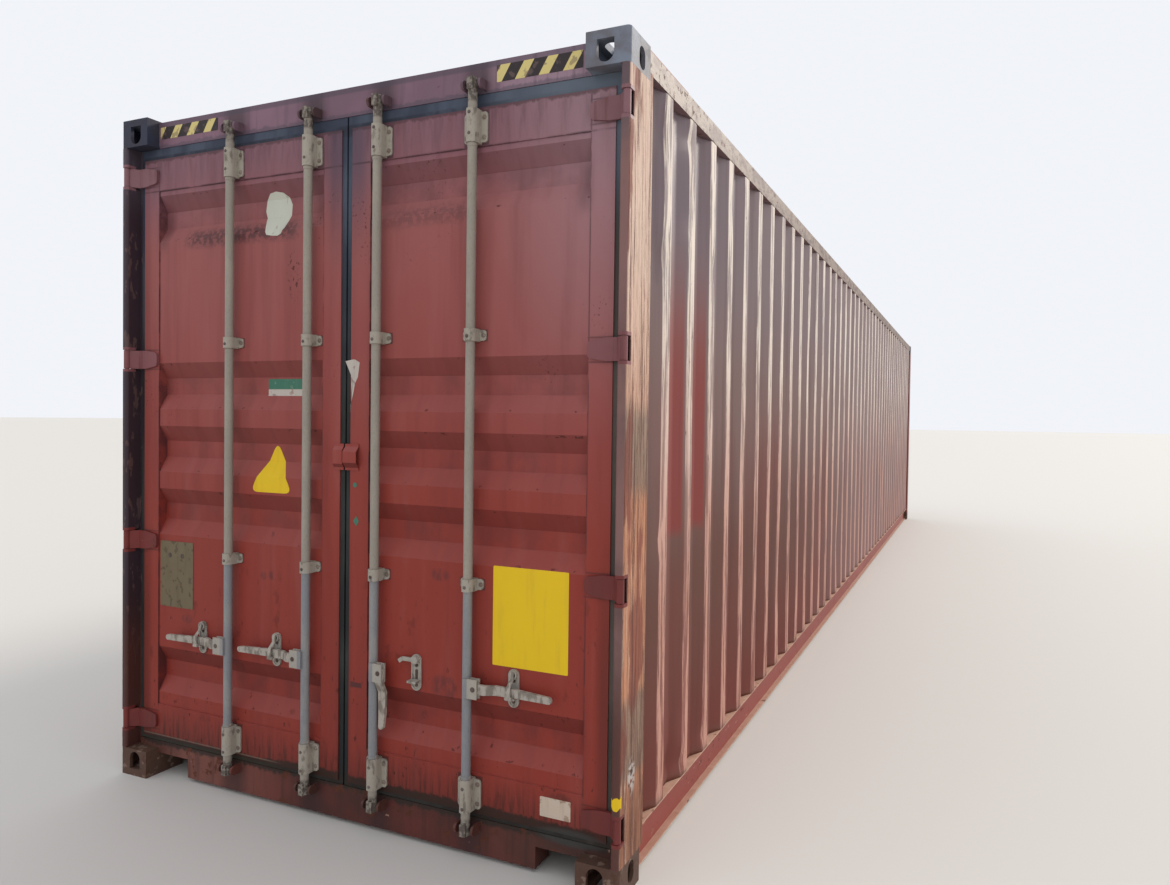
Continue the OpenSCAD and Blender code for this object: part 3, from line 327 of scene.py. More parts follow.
def door_grime_and_shade(f, cloud):
    """How dark the grime and the painted shade are: seams, the rubbed band, runs below the top edge, a
    few smudges, and a painted shadow along the door's top edge.
    """
    across = abs(f.y)
    seam = f.most(f.band(across, PANEL_EDGES[0] - 0.003, PANEL_EDGES[0] + 0.003, 0.002),
                  f.band(across, PANEL_EDGES[1] - 0.003, PANEL_EDGES[1] + 0.003, 0.002),
                  f.band(f.z, PANEL_HEAD - 0.003, PANEL_HEAD + 0.004, 0.003))
    seam = seam * f.ramp(f.z, PANEL_FOOT - 0.02, PANEL_FOOT) * f.patches(9, 0.75, soft=0.12, shift=3)
    corner = f.band(across, PANEL_EDGES[1] - 0.05, PANEL_EDGES[1], 0.03) * f.band(f.z, 2.33, 2.50, 0.04)
    rubbed = f.band(f.z + 0.03 * cloud, 2.345, 2.415, 0.022)
    rubbed = rubbed * f.most(f.band(f.y, 0.26, 0.88, 0.05), 0.5 * f.band(f.y, -0.57, -0.18, 0.05))
    rubbed = rubbed * (0.35 + 0.65 * f.patches(52, 0.60, soft=0.06, detail=6))
    runs = f.ramp(f.z + 0.16 * f.grain(3, detail=2), 2.58, 2.80)
    runs = runs * f.ramp(f.grain(11, detail=7, stretch=(1, 2.4, 0.35), rough=0.65, shift=6), 0.44, 0.66)
    smudges = f.most(*(f.smudge(*spot) for spot in DOOR_SMUDGES))
    smudges = smudges * f.ramp(f.grain(30, detail=6, stretch=(1, 1.4, 0.5), shift=8), 0.36, 0.62)
    ragged = ragged_edge(f)
    reach = 0.018 * f.ramp(f.y, 0.52, 0.22)
    foot = f.ramp(f.z - reach + 0.05 * (ragged - 0.5), 0.188, 0.174)
    # The door's top edge is painted in shadow, in the gap under the header.
    head = f.ramp(f.z + 0.05 * (ragged - 0.5), 2.712, 2.724)
    splashed = f.grain(24, detail=6, stretch=(1, 2.4, 0.22), shift=12)
    rising = f.ramp(f.z, 0.35, 0.17) * f.ramp(splashed, 0.46, 0.62)
    beside_hinge = f.ramp(across, 1.046, 1.052) * f.band(
        f.nearest(f.z, HINGE_Z), HINGE_HALF_H, HINGE_HALF_H + 0.004, 0.004)
    in_fold = f.ramp(f.depth, PANEL_DEPTH + 0.0335, PANEL_DEPTH + RECESS_DEPTH)
    fold_dirt = in_fold * f.patches(7, 0.4, soft=0.15)
    return f.most(0.70 * seam, 0.4 * corner, 0.72 * rubbed, 0.34 * runs, 0.50 * smudges,
                  0.28 * fold_dirt, 0.92 * foot, 0.65 * head, 0.62 * rising, 0.75 * beside_hinge)


print("smudges on the doors:", len(DOOR_SMUDGES))

# %% Place the painted shade and grime round the gear, and the rust
def gear_shade_and_grime(f):
    """Painted shadow beside the brackets and catches, and one scrape on the middle stile."""
    across = abs(f.y)
    at_bracket = f.most(f.band(f.z, 0.176, 0.306, 0.003), f.band(f.z, 2.591, 2.721, 0.003),
                        f.ramp(f.nearest(f.z, (1.008, 1.911)), 0.024, 0.018))
    # A painted shadow rings each bracket and each catch.
    shadow_by_bracket = f.ramp(f.nearest(across, ROD_Y[:2]), 0.057, 0.050) * at_bracket
    shadow_by_catch = f.most(*(f.smudge(y, 0.636, 0.034, 0.090, across) for y in (0.776, 0.351)))
    frayed = f.z + 0.02 * (ragged_edge(f) - 0.5)
    scrape = f.band(f.y, -0.090, -0.034, 0.005) * f.band(frayed, 0.549, 0.570, 0.003)
    return f.most(0.7 * shadow_by_bracket, 0.5 * shadow_by_catch, 0.75 * scrape)


def door_rust(f):
    """Rust: a few freckles in loose clusters, and chips on the sharp folds."""
    fold = f.band(f.depth, PANEL_DEPTH + 0.001, PANEL_DEPTH + 0.006, 0.001)
    chips = fold * f.patches(30, -0.1, soft=0.03, detail=5)
    cluster = f.patches(2.2, -0.3, soft=0.07, detail=2, shift=9)
    freckles = cluster * f.patches(80, -0.1, soft=0.02, detail=5, shift=2)
    scuffs = f.smudge(0.27, 2.18, 0.05, 0.12) * f.patches(60, 0.05, soft=0.02, detail=5, shift=5)
    spots = f.patches(46, -0.30, soft=0.035, detail=6, stretch=(1, 1, 0.6), shift=11)
    foot = f.ramp(f.z, 1.25, 0.35) * spots
    blots = f.patches(13, -0.25, soft=0.05, detail=7, stretch=(1, 1, 0.7), shift=13)
    stains = 0.5 * f.ramp(f.z, 1.3, 0.7) * blots
    freckles = f.most(freckles, foot, stains)
    return f.most(chips, freckles, scuffs)


door_finish = door_paint()

# %% [markdown]
# The frame was painted the same red, but it takes the knocks. Header and sill are duller and dirtier,
# with rust runs below every weld. The header's mauve, and the colour high up on keepers and hinges, is
# partly a painted reflection of the sky, and the header's foot is painted in shade. One function mixes
# them all: the caller says which red, how much rust and how much grime.

# %% Mix the frame's paints
def frame_paint(name, clean, grime, rust_cover, grime_share, worn_cover, faded_and_sky_sheen=None, cam_grime=0.0,
                sides=None):
    """Faded is the colour high up, partly a painted sky reflection; cam_grime the dirt round the cams,
    which also turns on dark seams and painted shade at the header's foot; sides the left and right ends.
    """
    f = Finish(name)
    cloud = f.grain(2.2, detail=4)
    # High up the colour is faded, with a painted reflection of the sky in it.
    if faded_and_sky_sheen:
        clean = f.mix(f.ramp(f.z + 0.4 * cloud, 1.3, 2.6), clean, faded_and_sky_sheen)
    if sides:
        clean = f.mix(f.ramp(f.y, -0.3, -1.0), f.mix(f.ramp(f.y, 0.1, 0.8), clean, sides[0]), sides[1])
    base = f.mix(grime_share * f.ramp(cloud, 0.38, 0.62), clean, grime)
    runs = f.ramp(f.grain(11, detail=6, stretch=(3, 3, 0.22)), 0.50, 0.68)
    base = f.mix(0.45 * runs, base, grime)
    if cam_grime:
        off_rod = f.nearest(abs(f.y), ROD_Y[:2]) + 0.05 * cloud
        round_cams = f.ramp(off_rod, 0.12, 0.04) * f.ramp(f.depth, 0.075, 0.062)
        base = f.over(base, cam_grime * round_cams, 46, 36, 38)
        ragged = f.grain(24, detail=6, stretch=(1, 1, 0.6), rough=0.7)
        # The sill's top edge is dirty, while the header's foot is painted in shade, in the blue grey
        # mixed below.
        seam = f.ramp(f.z + 0.06 * (ragged - 0.5), 0.128, 0.142) * f.ramp(f.z, 1.0, 0.9)
        header_foot_shade = f.ramp(f.z + 0.05 * (ragged - 0.5), 2.797, 2.787) * f.ramp(f.z, 1.0, 1.1)
        seam = f.most(seam, 0.6 * header_foot_shade, 0.6 * f.ramp(f.z, 2.864, 2.872))
        dirt = f.mix(f.ramp(f.z, 0.3, 1.0), colour(44, 36, 30), colour(76, 70, 84))
        base = f.mix(0.9 * seam, base, dirt)
        base = f.over(base, 0.8 * f.smudge(-1.01, 0.150, 0.16, 0.030), 62, 62, 60)
    scratch = f.patches(30, worn_cover, soft=0.012, detail=7, stretch=(0.35, 1, 1.4), shift=3)
    base = f.over(base, 0.7 * scratch, 176, 138, 120)
    rust = f.patches(13, rust_cover, soft=0.03, detail=8, rough=0.65, shift=7)
    base = f.mix(0.85 * rust, base, f.mix(f.grain(50), colour(58, 33, 26), colour(112, 62, 40)))
    return f.done(base, 0.5 + 0.15 * cloud + 0.25 * rust,
                  bump=cloud * 0.4 + 0.5 * f.grain(70, detail=4) + 0.5 * rust - 0.4 * scratch,
                  strength=0.45, distance=0.0025)


# The header's mauve is partly dirt and partly a painted reflection of the sky.
header_finish = frame_paint(
    "header_paint", colour(136, 104, 118), colour(98, 76, 88), -0.5, 0.5, worn_cover=-0.8,
    cam_grime=0.6, sides=(colour(132, 100, 114), colour(152, 126, 138)))
sill_finish = frame_paint(
    "sill_paint", colour(104, 48, 42), colour(58, 38, 33), 0.05, 0.7, worn_cover=-0.45,
    cam_grime=0.6, sides=(colour(122, 74, 64), colour(92, 54, 46)))
keeper_finish = frame_paint(
    "keeper_paint", colour(104, 58, 50), colour(66, 48, 42), 0.1, 0.8, worn_cover=-0.9,
    faded_and_sky_sheen=colour(112, 88, 100))
plain_finish = frame_paint(
    "frame_paint", colour(132, 66, 58), colour(96, 54, 48), -0.5, 0.5, worn_cover=-0.75,
    faded_and_sky_sheen=colour(144, 100, 98))
hinge_finish = frame_paint(
    "hinge_paint", colour(126, 52, 48), colour(90, 46, 44), -0.3, 0.5, worn_cover=-0.6,
    faded_and_sky_sheen=colour(134, 96, 102))
print("frame finishes:", 5)

# %% [markdown]
# The posts wear differently on each face. The narrow nose that faces the camera is dark with road
# film. The broad side face has been scraped by every container that slid past it: its red is gone,
# and a flaking coat of pale orange primer shows, split by fine upright cracks and patched with grey.
# The side face is the only part of a post at the container's full width, so its inset masks it.

# %% Mix the posts' paint with its peeling side
def post_paint(name, nose, scraped):
    f = Finish(name)
    cloud = f.grain(2.4, detail=4)
    base = f.mix(0.55 * f.ramp(cloud, 0.4, 0.66), nose, colour(52, 38, 42))
    edge = f.patches(34, 0.06, soft=0.02, detail=6, stretch=(1, 1, 0.35))
    base = f.over(base, 0.4 * edge, 120, 92, 84)
    base = f.over(base, 0.85 * f.ramp(f.z + 0.2 * cloud, 1.0, 0.6), 82, 46, 38)
    base = f.over(base, 0.6 * f.ramp(f.z + 0.1 * cloud, 2.50, 2.72), 84, 76, 86)
    face = f.ramp(abs(f.y), SIDE_Y - 0.0035, SIDE_Y - 0.0012)
    high = f.ramp(f.z + 0.5 * cloud, 1.5, 2.5)
    primer = f.mix(high, colour(190, 132, 100), colour(216, 188, 170))
    primer = f.over(primer, 0.7 * f.ramp(f.z + 0.3 * cloud, 0.75, 0.35), 118, 78, 60)
    fleck = f.ramp(f.grain(62, detail=7, stretch=(1.8, 1, 0.08), rough=0.75), 0.44, 0.58)
    primer = f.over(primer, (0.62 - 0.30 * high) * fleck, 122, 78, 60)
    pale = f.ramp(f.grain(48, detail=7, stretch=(2.4, 1, 0.06), rough=0.75, shift=5), 0.54, 0.62)
    primer = f.over(primer, 0.62 * pale, 222, 198, 178)
    level = f.z + 0.12 * cloud
    grey = f.most(f.ramp(abs(level - 1.57), 0.20, 0.10), f.ramp(abs(level - 0.60), 0.17, 0.11))
    primer = f.mix(0.75 * grey, primer, f.mix(fleck, colour(128, 112, 98), colour(88, 76, 66)))
    red_left = f.patches(8, 0.14, soft=0.03, detail=7, stretch=(1, 1, 0.22), shift=8)
    primer = f.over(primer, 0.8 * red_left, 126, 66, 54)
    crack = f.ramp(f.grain(30, detail=7, stretch=(2.8, 1, 0.06), rough=0.75, shift=1), 0.535, 0.565)
    primer = f.over(primer, 0.85 * crack, 92, 58, 48)
    torn = f.smudge(0.095, 0.400, 0.040, 0.075, f.depth)
    torn_pale = torn * f.patches(36, 0.7, soft=0.04, detail=5, shift=4)
    torn_dark = torn * f.patches(44, 0.2, soft=0.03, detail=5, shift=9)
    primer = f.over(primer, 0.85 * torn_pale, 186, 178, 172)
    primer = f.over(primer, 0.9 * torn_dark, 58, 48, 46)
    base = f.mix(face * scraped, base, primer)
    return f.done(base, 0.5 + 0.3 * face, bump=0.5 * cloud + face * (0.6 * pale - crack) + 0.3 * edge,
                  strength=0.6, distance=0.003)


right_post_finish = post_paint("right_post_paint", colour(132, 98, 94), 1.0)
left_post_finish = post_paint("left_post_paint", colour(58, 44, 52), 0.45)
print("post finishes:", 2)

# %% [markdown]
# The corrugated side is the largest surface. Its outer ribs rub against other containers, so their
# faces are down to pale primer with salmon edges, painted paler still as if the low sun lit them, while
# the slopes keep a dull purple red that turns browner towards the ground. Further back the whole wall is
# painted paler, a painted sheen of the sky. The ribs repeat every 278 mm, so the remainder of a division
# tells how far a spot lies from the middle of its rib.

# %% Mix the side wall's paint
CREST_INSET, BASE_INSET = 0.008, 0.044
RIB_PITCH, RIB_FLAT, RIB_SLOPE, RIB_COUNT = 0.278, 0.072, 0.068, 42
FIRST_RIB = LENGTH / 2 - (RIB_COUNT - 1) / 2 * RIB_PITCH


def wall_paint(name, wear):
    f = Finish(name)
    inset = SIDE_Y - abs(f.y)
    cloud = f.grain(1.1, detail=4)
    height = f.z + 0.35 * (cloud - 0.5)
    base = f.mix(f.ramp(height, 0.2, 1.0), colour(120, 60, 50), colour(114, 76, 66))
    base = f.over(base, f.ramp(height, 0.9, 1.7), 136, 110, 104)
    base = f.over(base, f.ramp(height, 1.6, 2.5), 140, 123, 124)
    redder = f.patches(1.3, 0.1, soft=0.12, detail=3, stretch=(2.2, 1, 0.5), shift=6)
    base = f.over(base, 0.5 * redder * f.ramp(height, 2.0, 1.2), 134, 62, 54)
    repaint = f.band(f.depth, 0.40, 1.08, 0.03) * f.ramp(f.z + 0.06 * cloud, 1.16, 1.23)
    repaint = repaint * f.ramp(f.z, 2.5, 1.7) * f.ramp(inset, 0.012, 0.02) * f.ramp(f.y, 0.1, 0.0)
    base = f.over(base, 0.85 * repaint, 146, 62, 56)
    sheltered = f.ramp(f.depth, 2.0, 0.6) * f.ramp(height, 1.9, 2.5)
    base = f.over(base, 0.55 * sheltered, 108, 94, 104)
    # Further than 2 m from the door end the wall is painted paler: a painted sheen of the sky, as the
    # wall is seen at an ever more grazing angle.
    paler_region = f.ramp(f.depth, 2.0, 7.0)
    base = f.over(base, 0.5 * paler_region, 178, 158, 154)
    runs = f.ramp(f.grain(6, detail=6, stretch=(3.5, 3.5, 0.10)), 0.48, 0.70)
    base = f.over(base, 0.28 * runs, 84, 50, 46)
    ribs = (f.depth - FIRST_RIB) / RIB_PITCH + 0.5
    part = f.node("ShaderNodeMath", {"operation": "FRACT"}, {0: ribs})
    crest = f.ramp(abs(part - 0.5) * RIB_PITCH, RIB_FLAT / 2 + 0.005, RIB_FLAT / 2 + 0.001)
    crest = crest * f.ramp(f.depth, 0.20, 0.30)
    rubbed = f.ramp(f.grain(20, detail=8, stretch=(2.2, 1, 0.10), rough=0.70), 0.45, 0.53)
    # The crests are worn to primer, and painted paler still: a painted highlight of the low sun.
    worn = f.mix(f.ramp(f.z + 0.5 * cloud, 1.2, 2.4), colour(192, 142, 126), colour(226, 212, 198))
    base = f.mix(wear * crest * (0.15 + 0.85 * rubbed), base, worn)
    rust = f.patches(16, -0.6, soft=0.02, detail=8, rough=0.65, shift=7)
    rust = f.most(rust, crest * f.patches(34, -0.35, soft=0.02, detail=7, stretch=(1, 1, 0.3), shift=4))
    base = f.over(base, 0.8 * rust, 84, 50, 42)
    ledge = f.ramp(f.z + 0.05 * cloud, 0.26, 0.19)
    base = f.over(base, 0.55 * ledge, 110, 82, 68)
    return f.done(base, 0.46 + 0.2 * crest + 0.1 * cloud,
                  bump=f.grain(2.4, detail=2) + 0.12 * f.grain(120, detail=2) - 0.25 * rubbed * crest,
                  strength=0.5, distance=0.004)


scraped_wall_finish = wall_paint("scraped_wall_paint", 0.95)
wall_finish = wall_paint("wall_paint", 0.45)
print("wall finishes:", 2)

# %% [markdown]
# Rails carry the marks of lashings and forklifts. The top rail's outer face is rubbed to a mottled
# beige, and the bottom rail is a clean red band between two bright, scratched edges: its upper ledge
# and its lower lip. Heights separate the band from its edges.

# %% Mix the rails' paints
def top_rail_paint():
    f = Finish("top_rail_paint")
    cloud = f.grain(3.0, detail=5)
    face = f.ramp(abs(f.y), SIDE_Y - 0.0095, SIDE_Y - 0.0065)
    base = f.mix(cloud, colour(102, 78, 80), colour(126, 100, 100))
    mottle = f.mix(f.patches(22, 0.42, soft=0.06, detail=7, stretch=(0.5, 1, 1)),
                   colour(132, 114, 98), colour(92, 68, 58))
    base = f.mix(face * (0.7 + 0.3 * cloud), base, mottle)
    rust = f.patches(28, 0.10, soft=0.03, detail=8, rough=0.7, shift=3)
    base = f.over(base, 0.8 * rust, 92, 58, 44)
    return f.done(base, 0.55 + 0.2 * rust, bump=f.grain(60, detail=5) - 0.5 * rust, strength=0.5,
                  distance=0.002)


def bottom_rail_paint():
    f = Finish("bottom_rail_paint")
    cloud = f.grain(1.6, detail=5, stretch=(0.4, 1, 1))
    base = f.mix(cloud, colour(128, 50, 44), colour(150, 74, 64))
    edges = f.most(f.ramp(f.z, 0.168, 0.1735), f.ramp(f.z, 0.0235, 0.0205))
    scratched = f.patches(26, 1.5, soft=0.10, detail=8, stretch=(0.5, 1, 1), rough=0.7)
    bare = f.mix(f.grain(18), colour(168, 122, 100), colour(214, 178, 156))
    base = f.mix(edges * scratched, base, bare)
    nicks = f.patches(34, -0.25, soft=0.02, detail=7, stretch=(0.3, 1, 1.5), shift=5)
    base = f.over(base, 0.5 * nicks, 186, 136, 116)
    rust = f.patches(16, -0.1, soft=0.03, detail=8, rough=0.7, shift=8)
    base = f.over(base, 0.75 * rust, 80, 46, 34)
    return f.done(base, 0.5 + 0.2 * rust, bump=0.6 * cloud - nicks + 0.4 * f.grain(60), strength=0.5,
                  distance=0.003)


top_rail_finish = top_rail_paint()
bottom_rail_finish = bottom_rail_paint()
print("rail finishes:", 2)

# %% [markdown]
# Corner castings are thick cast steel. They are painted last and lose their paint first, so they look
# dark, brown-grey and coarse, with rust in the hollows. A strong bump from two noises gives the skin.

# %% Mix the castings' worn steel
def casting_steel():
    f = Finish("casting_steel")
    cloud = f.grain(7, detail=6)
    low = f.ramp(f.z, 0.6, 0.1)
    leftward = f.ramp(f.y, -0.4, 0.4)
    above = f.mix(leftward, colour(122, 130, 144), colour(48, 54, 72))
    stained = f.mix(leftward, colour(88, 76, 74), colour(54, 46, 52))
    base = f.mix(0.6 * f.ramp(cloud, 0.42, 0.68), above, stained)
    base = f.mix(low, base, f.mix(cloud, colour(62, 44, 38), colour(104, 76, 62)))
    scuff = f.patches(24, 0.06, soft=0.02, detail=7, shift=2)
    base = f.over(base, 0.5 * low * scuff, 150, 128, 112)
    rust = f.patches(11, 0.20, soft=0.05, detail=8, rough=0.7, shift=6) * (0.25 + 0.75 * low)
    base = f.over(base, 0.5 * rust, 82, 50, 38)
    return f.done(base, 0.62 + 0.2 * rust, bump=cloud + 0.6 * f.grain(90, detail=6), strength=0.7,
                  distance=0.003)


casting_finish = casting_steel()

# %% [markdown]
# The lock gear is galvanised steel. Its bright zinc has weathered to a grey beige with dirt in the
# corners, and the rods look bluer and smoother below their lower middle brackets, where hands and
# rain have kept them clean. A soft step on height splits the two.

# %% Mix the lock gear's zinc
LOWER_BRACKET_Z = 1.0


def weathered_zinc(name, upper, lower, dirt_share, fittings=None):
    """Upper and lower are the zinc above and below the lower brackets, fittings a rod's collars."""
    f = Finish(name)
    cloud = f.grain(16, detail=5, stretch=(1, 1, 0.3))
    base = f.mix(f.band(f.z, 0.30, LOWER_BRACKET_Z, 0.02), upper, lower)
    if fittings:
        off_rod = f.nearest(abs(f.y), ROD_Y[:2])
        fitting = f.ramp(off_rod, ROD_R + 0.0003, ROD_R + 0.0008) * f.ramp(f.z, 0.75, 0.70)
        base = f.mix(fitting, base, fittings)
    base = f.over(base, 0.35 * f.ramp(cloud, 0.42, 0.70), 176, 168, 154)
    speckle = f.ramp(f.grain(150, detail=3, stretch=(1, 1, 0.6)), 0.50, 0.70)
    base = f.over(base, 0.22 * speckle, 110, 102, 90)
    dirt = f.patches(42, dirt_share, soft=0.07, detail=7, stretch=(1, 1, 0.45), shift=2)
    base = f.over(base, 0.60 * dirt, 80, 70, 60)
    ends = f.most(f.ramp(f.z, 0.165, 0.145), f.ramp(f.z, 2.735, 2.75))
    caked = f.patches(70, 0.62, soft=0.06, detail=5, shift=9)
    base = f.over(base, ends * (0.25 + 0.6 * caked), 78, 66, 60)
    return f.done(base, 0.50 + 0.15 * cloud + 0.1 * dirt, bump=cloud + 0.3 * f.grain(220, detail=3),
                  strength=0.25, distance=0.001, gloss=0.35)


LIGHT_ZINC, HANDLE_ZINC = colour(164, 158, 148), colour(172, 164, 154)
rod_finish = weathered_zinc("rod_zinc", colour(150, 143, 132), colour(132, 134, 138), -1.2, LIGHT_ZINC)
gear_finish = weathered_zinc("gear_zinc", colour(162, 155, 142), LIGHT_ZINC, 0.05)
handle_finish = weathered_zinc("handle_zinc", HANDLE_ZINC, HANDLE_ZINC, 0.42)
bolt_finish = weathered_zinc("bolt_zinc", colour(118, 102, 92), colour(120, 106, 96), 0.2)
dark_finish = weathered_zinc("keeper_steel", colour(92, 76, 78), colour(76, 56, 50), 0.35)
print("zinc finishes:", 5)

# %% [markdown]
# Rubber, boards and underseal need only a few nodes each. The rubber is black with a green bloom, with a
# painted sky reflection that turns it blue grey towards the top and a painted shadow band under the
# header; the floor is varnished plywood in boards that run across the container, and the underside is
# waxy black.

# %% Mix rubber, boards and underseal
def door_rubber():
    f = Finish("door_rubber")
    bloom = f.patches(7, 0.35, soft=0.12, detail=5, stretch=(1, 1, 0.3))
    base = f.mix(bloom, colour(34, 36, 37), colour(56, 58, 56))
    # Towards the top the rubber turns blue grey: a painted reflection of the sky.
    base = f.mix(f.ramp(f.z, 1.6, 2.7), base, f.mix(bloom, colour(54, 61, 77), colour(76, 84, 99)))
    # The dark band at the head is painted shadow, in the gap under the header.
    head = f.band(f.z, 2.70, 2.745, 0.004) * f.patches(14, 0.8, soft=0.15)
    base = f.over(base, 0.75 * head, 40, 42, 52)
    base = f.over(base, 0.7 * f.ramp(f.y, -0.5, -1.0) * f.ramp(f.z, 2.0, 2.7), 104, 114, 126)
    dusty = f.mix(bloom, colour(70, 64, 60), colour(92, 84, 78))
    base = f.mix(f.ramp(f.y, -1.0, -1.15) * f.ramp(f.z, 2.5, 2.2), base, dusty)
    foot = f.ramp(f.z + 0.03 * bloom, 0.22, 0.16)
    base = f.mix(0.8 * foot, base, f.mix(f.ramp(f.y, 0.2, 0.5), colour(42, 36, 30), colour(56, 50, 38)))
    return f.done(base, 0.7 + 0.1 * bloom, bump=f.grain(80, detail=3), strength=0.3, distance=0.001)


def floor_plywood():
    f = Finish("floor_plywood")
    board = f.node("ShaderNodeMath", {"operation": "FRACT"}, {0: (f.x + LENGTH) / 1.22})
    seam = f.ramp(abs(board - 0.5), 0.4965, 0.4985)
    fibre = f.grain(18, detail=7, stretch=(5, 0.35, 1))
    base = f.mix(fibre, colour(120, 86, 54), colour(176, 138, 92))
    base = f.over(base, 0.5 * f.patches(4, 0.3, soft=0.08, detail=6), 92, 72, 54)
    base = f.over(base, seam, 40, 32, 26)
    return f.done(base, 0.5 + 0.25 * fibre, bump=fibre - seam, strength=0.4, distance=0.002)


def underseal():
    f = Finish("underseal")
    cloud = f.grain(5, detail=6)
    base = f.mix(cloud, colour(58, 50, 46), colour(96, 80, 68))
    return f.done(base, 0.6 + 0.2 * cloud, bump=f.grain(40, detail=4), strength=0.5, distance=0.002)


def roof_paint():
    f = Finish("roof_paint")
    cloud = f.grain(1.2, detail=6)
    base = f.mix(f.ramp(cloud, 0.35, 0.65), colour(140, 84, 76), colour(172, 128, 116))
    pool = f.ramp(f.z, HEADER_TOP - 0.006, HEADER_TOP - 0.019)
    base = f.over(base, 0.5 * pool * f.patches(5, 0.6, soft=0.15, detail=5), 118, 92, 80)
    rust = f.patches(22, 0.0, soft=0.07, detail=8, rough=0.7, shift=4)
    rust = rust * f.patches(1.7, 0.3, soft=0.15, detail=3)
    base = f.over(base, 0.6 * rust, 108, 66, 50)
    return f.done(base, 0.65 + 0.15 * cloud, bump=cloud + 0.3 * f.grain(60), strength=0.4,
                  distance=0.003)


rubber_finish, floor_finish = door_rubber(), floor_plywood()
underside_finish, roof_finish = underseal(), roof_paint()

# %% [markdown]
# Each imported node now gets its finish. The first word that matches a node's name decides, so the list
# goes from the special to the general.

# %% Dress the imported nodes
DRESS = (
    ("casting", casting_finish), ("keepers", keeper_finish), ("gasket", rubber_finish),
    ("lock_rod", rod_finish), ("door_handle", handle_finish), ("rod_brackets", gear_finish),
    ("catches", gear_finish), ("door_hinges", hinge_finish), ("hinge_lugs", hinge_finish),
    ("door_frame", door_finish), ("door_panel", door_finish), ("seal_cover", door_finish),
    ("left_door_post", left_post_finish), ("right_door_post", right_post_finish),
    ("door_header", header_finish), ("door_sill", sill_finish),
    ("top_side_rails", top_rail_finish), ("bottom_side_rails", bottom_rail_finish),
    ("side_wall", wall_finish), ("front_wall", plain_finish), ("roof", roof_finish),
    ("cross_members", underside_finish), ("gooseneck", underside_finish), ("floor", floor_finish),
    ("front", plain_finish),
)


def wear(piece, material):
    """Gives a piece one material in place of whatever it had."""
    piece.data.materials.clear()
    piece.data.materials.append(material)


for name, node in nodes.items():
    wear(node, next(finish for word, finish in DRESS if word in name))
used = {node.data.materials[0].name for node in nodes.values()}
print("dressed", len(nodes), "nodes in", len(used), "finishes")

# %% [markdown]
# Steel is never folded or cast to a knife edge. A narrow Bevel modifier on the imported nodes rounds
# each sharp edge by a millimetre or two, which lets edges catch the light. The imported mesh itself
# stays as it is.

# %% Soften the steel's edges
SOFT_EDGES = {"casting": 0.008, "keepers": 0.003, "rod_brackets": 0.0025, "catches": 0.002,
              "door_handle": 0.003, "door_hinges": 0.003, "door_sill": 0.003, "door_header": 0.003,
              "door_frame": 0.002, "bottom_side_rails": 0.0015}
SHARP = math.radians(40)

for name, node in nodes.items():
    for word, width in SOFT_EDGES.items():
        if word in name:
            bevel = node.modifiers.new("soft_edges", "BEVEL")
            bevel.width = width
            bevel.segments = 2
            bevel.limit_method = "ANGLE"
            bevel.angle_limit = SHARP
print("softened", sum(1 for n in nodes.values() if n.modifiers), "nodes")

# %% [markdown]
# New pieces are built as closed meshes. One helper turns corners and faces into a piece, gives it its
# finish, and lets it ride on a body, so that a bolt on a door swings with the door.

# %% Make a piece from corners and faces
def piece(name, corners, faces, body, finish, slot, smooth=False):
    mesh = bpy.data.meshes.new(name)
    mesh.from_pydata([tuple(c) for c in corners], [], faces)
    mesh.validate()
    made = bpy.data.objects.new(name, mesh)
    bpy.context.scene.collection.objects.link(made)
    tidy = bmesh.new()
    tidy.from_mesh(mesh)
    bmesh.ops.recalc_face_normals(tidy, faces=tidy.faces)
    tidy.to_mesh(mesh)
    tidy.free()
    mesh.polygons.foreach_set("use_smooth", [smooth] * len(mesh.polygons))
    wear(made, finish)
    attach(made, body)
    return made


def joined(solids):
    """Corners and faces of several solids as one list of each."""
    corners, faces = [], []
    for more_corners, more_faces in solids:
        faces += [tuple(i + len(corners) for i in face) for face in more_faces]
        corners += more_corners
    return corners, faces


print("helpers:", piece.__name__, joined.__name__)

# %% [markdown]
# A pressed wall is not flat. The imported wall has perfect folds, so a finer copy replaces it: the same
# corrugation with rounded folds, a slight waviness, and the knocks that show near the door end. Each
# knock is a smooth bump that pushes the sheet in or out, given by its place, its reach and its depth.
# A Solidify modifier brings back the sheet's thickness.

# %% Lay out the wall's corrugation
WALL_START, WALL_FOOT, WALL_TOP = 0.194, 0.179, 2.810
SHEET = 0.002
FOLD = 0.007


def rounded_line(line, reach):
    """Replaces each inner corner of a folded line by three points, which makes a soft fold."""
    soft = [line[0]]
    for before, corner, after in zip(line, line[1:], line[2:]):
        a = corner + (before - corner).normalized() * reach
        b = corner + (after - corner).normalized() * reach
        soft += [a, (a + b) / 4 + corner / 2, b]
    return soft + [line[-1]]


def wall_plan():
    line = [Vector((WALL_START, BASE_INSET))]
    for i in range(RIB_COUNT):
        middle = FIRST_RIB + i * RIB_PITCH
        for along, inset in ((-RIB_FLAT / 2 - RIB_SLOPE, BASE_INSET), (-RIB_FLAT / 2, CREST_INSET),
                             (RIB_FLAT / 2, CREST_INSET), (RIB_FLAT / 2 + RIB_SLOPE, BASE_INSET)):
            line.append(Vector((middle + along, inset)))
    line.append(Vector((LENGTH - WALL_START, BASE_INSET)))
    return rounded_line(line, FOLD)


plan = wall_plan()
print("wall plan:", len(plan), "points, first rib", round(FIRST_RIB, 3), "m from the end")

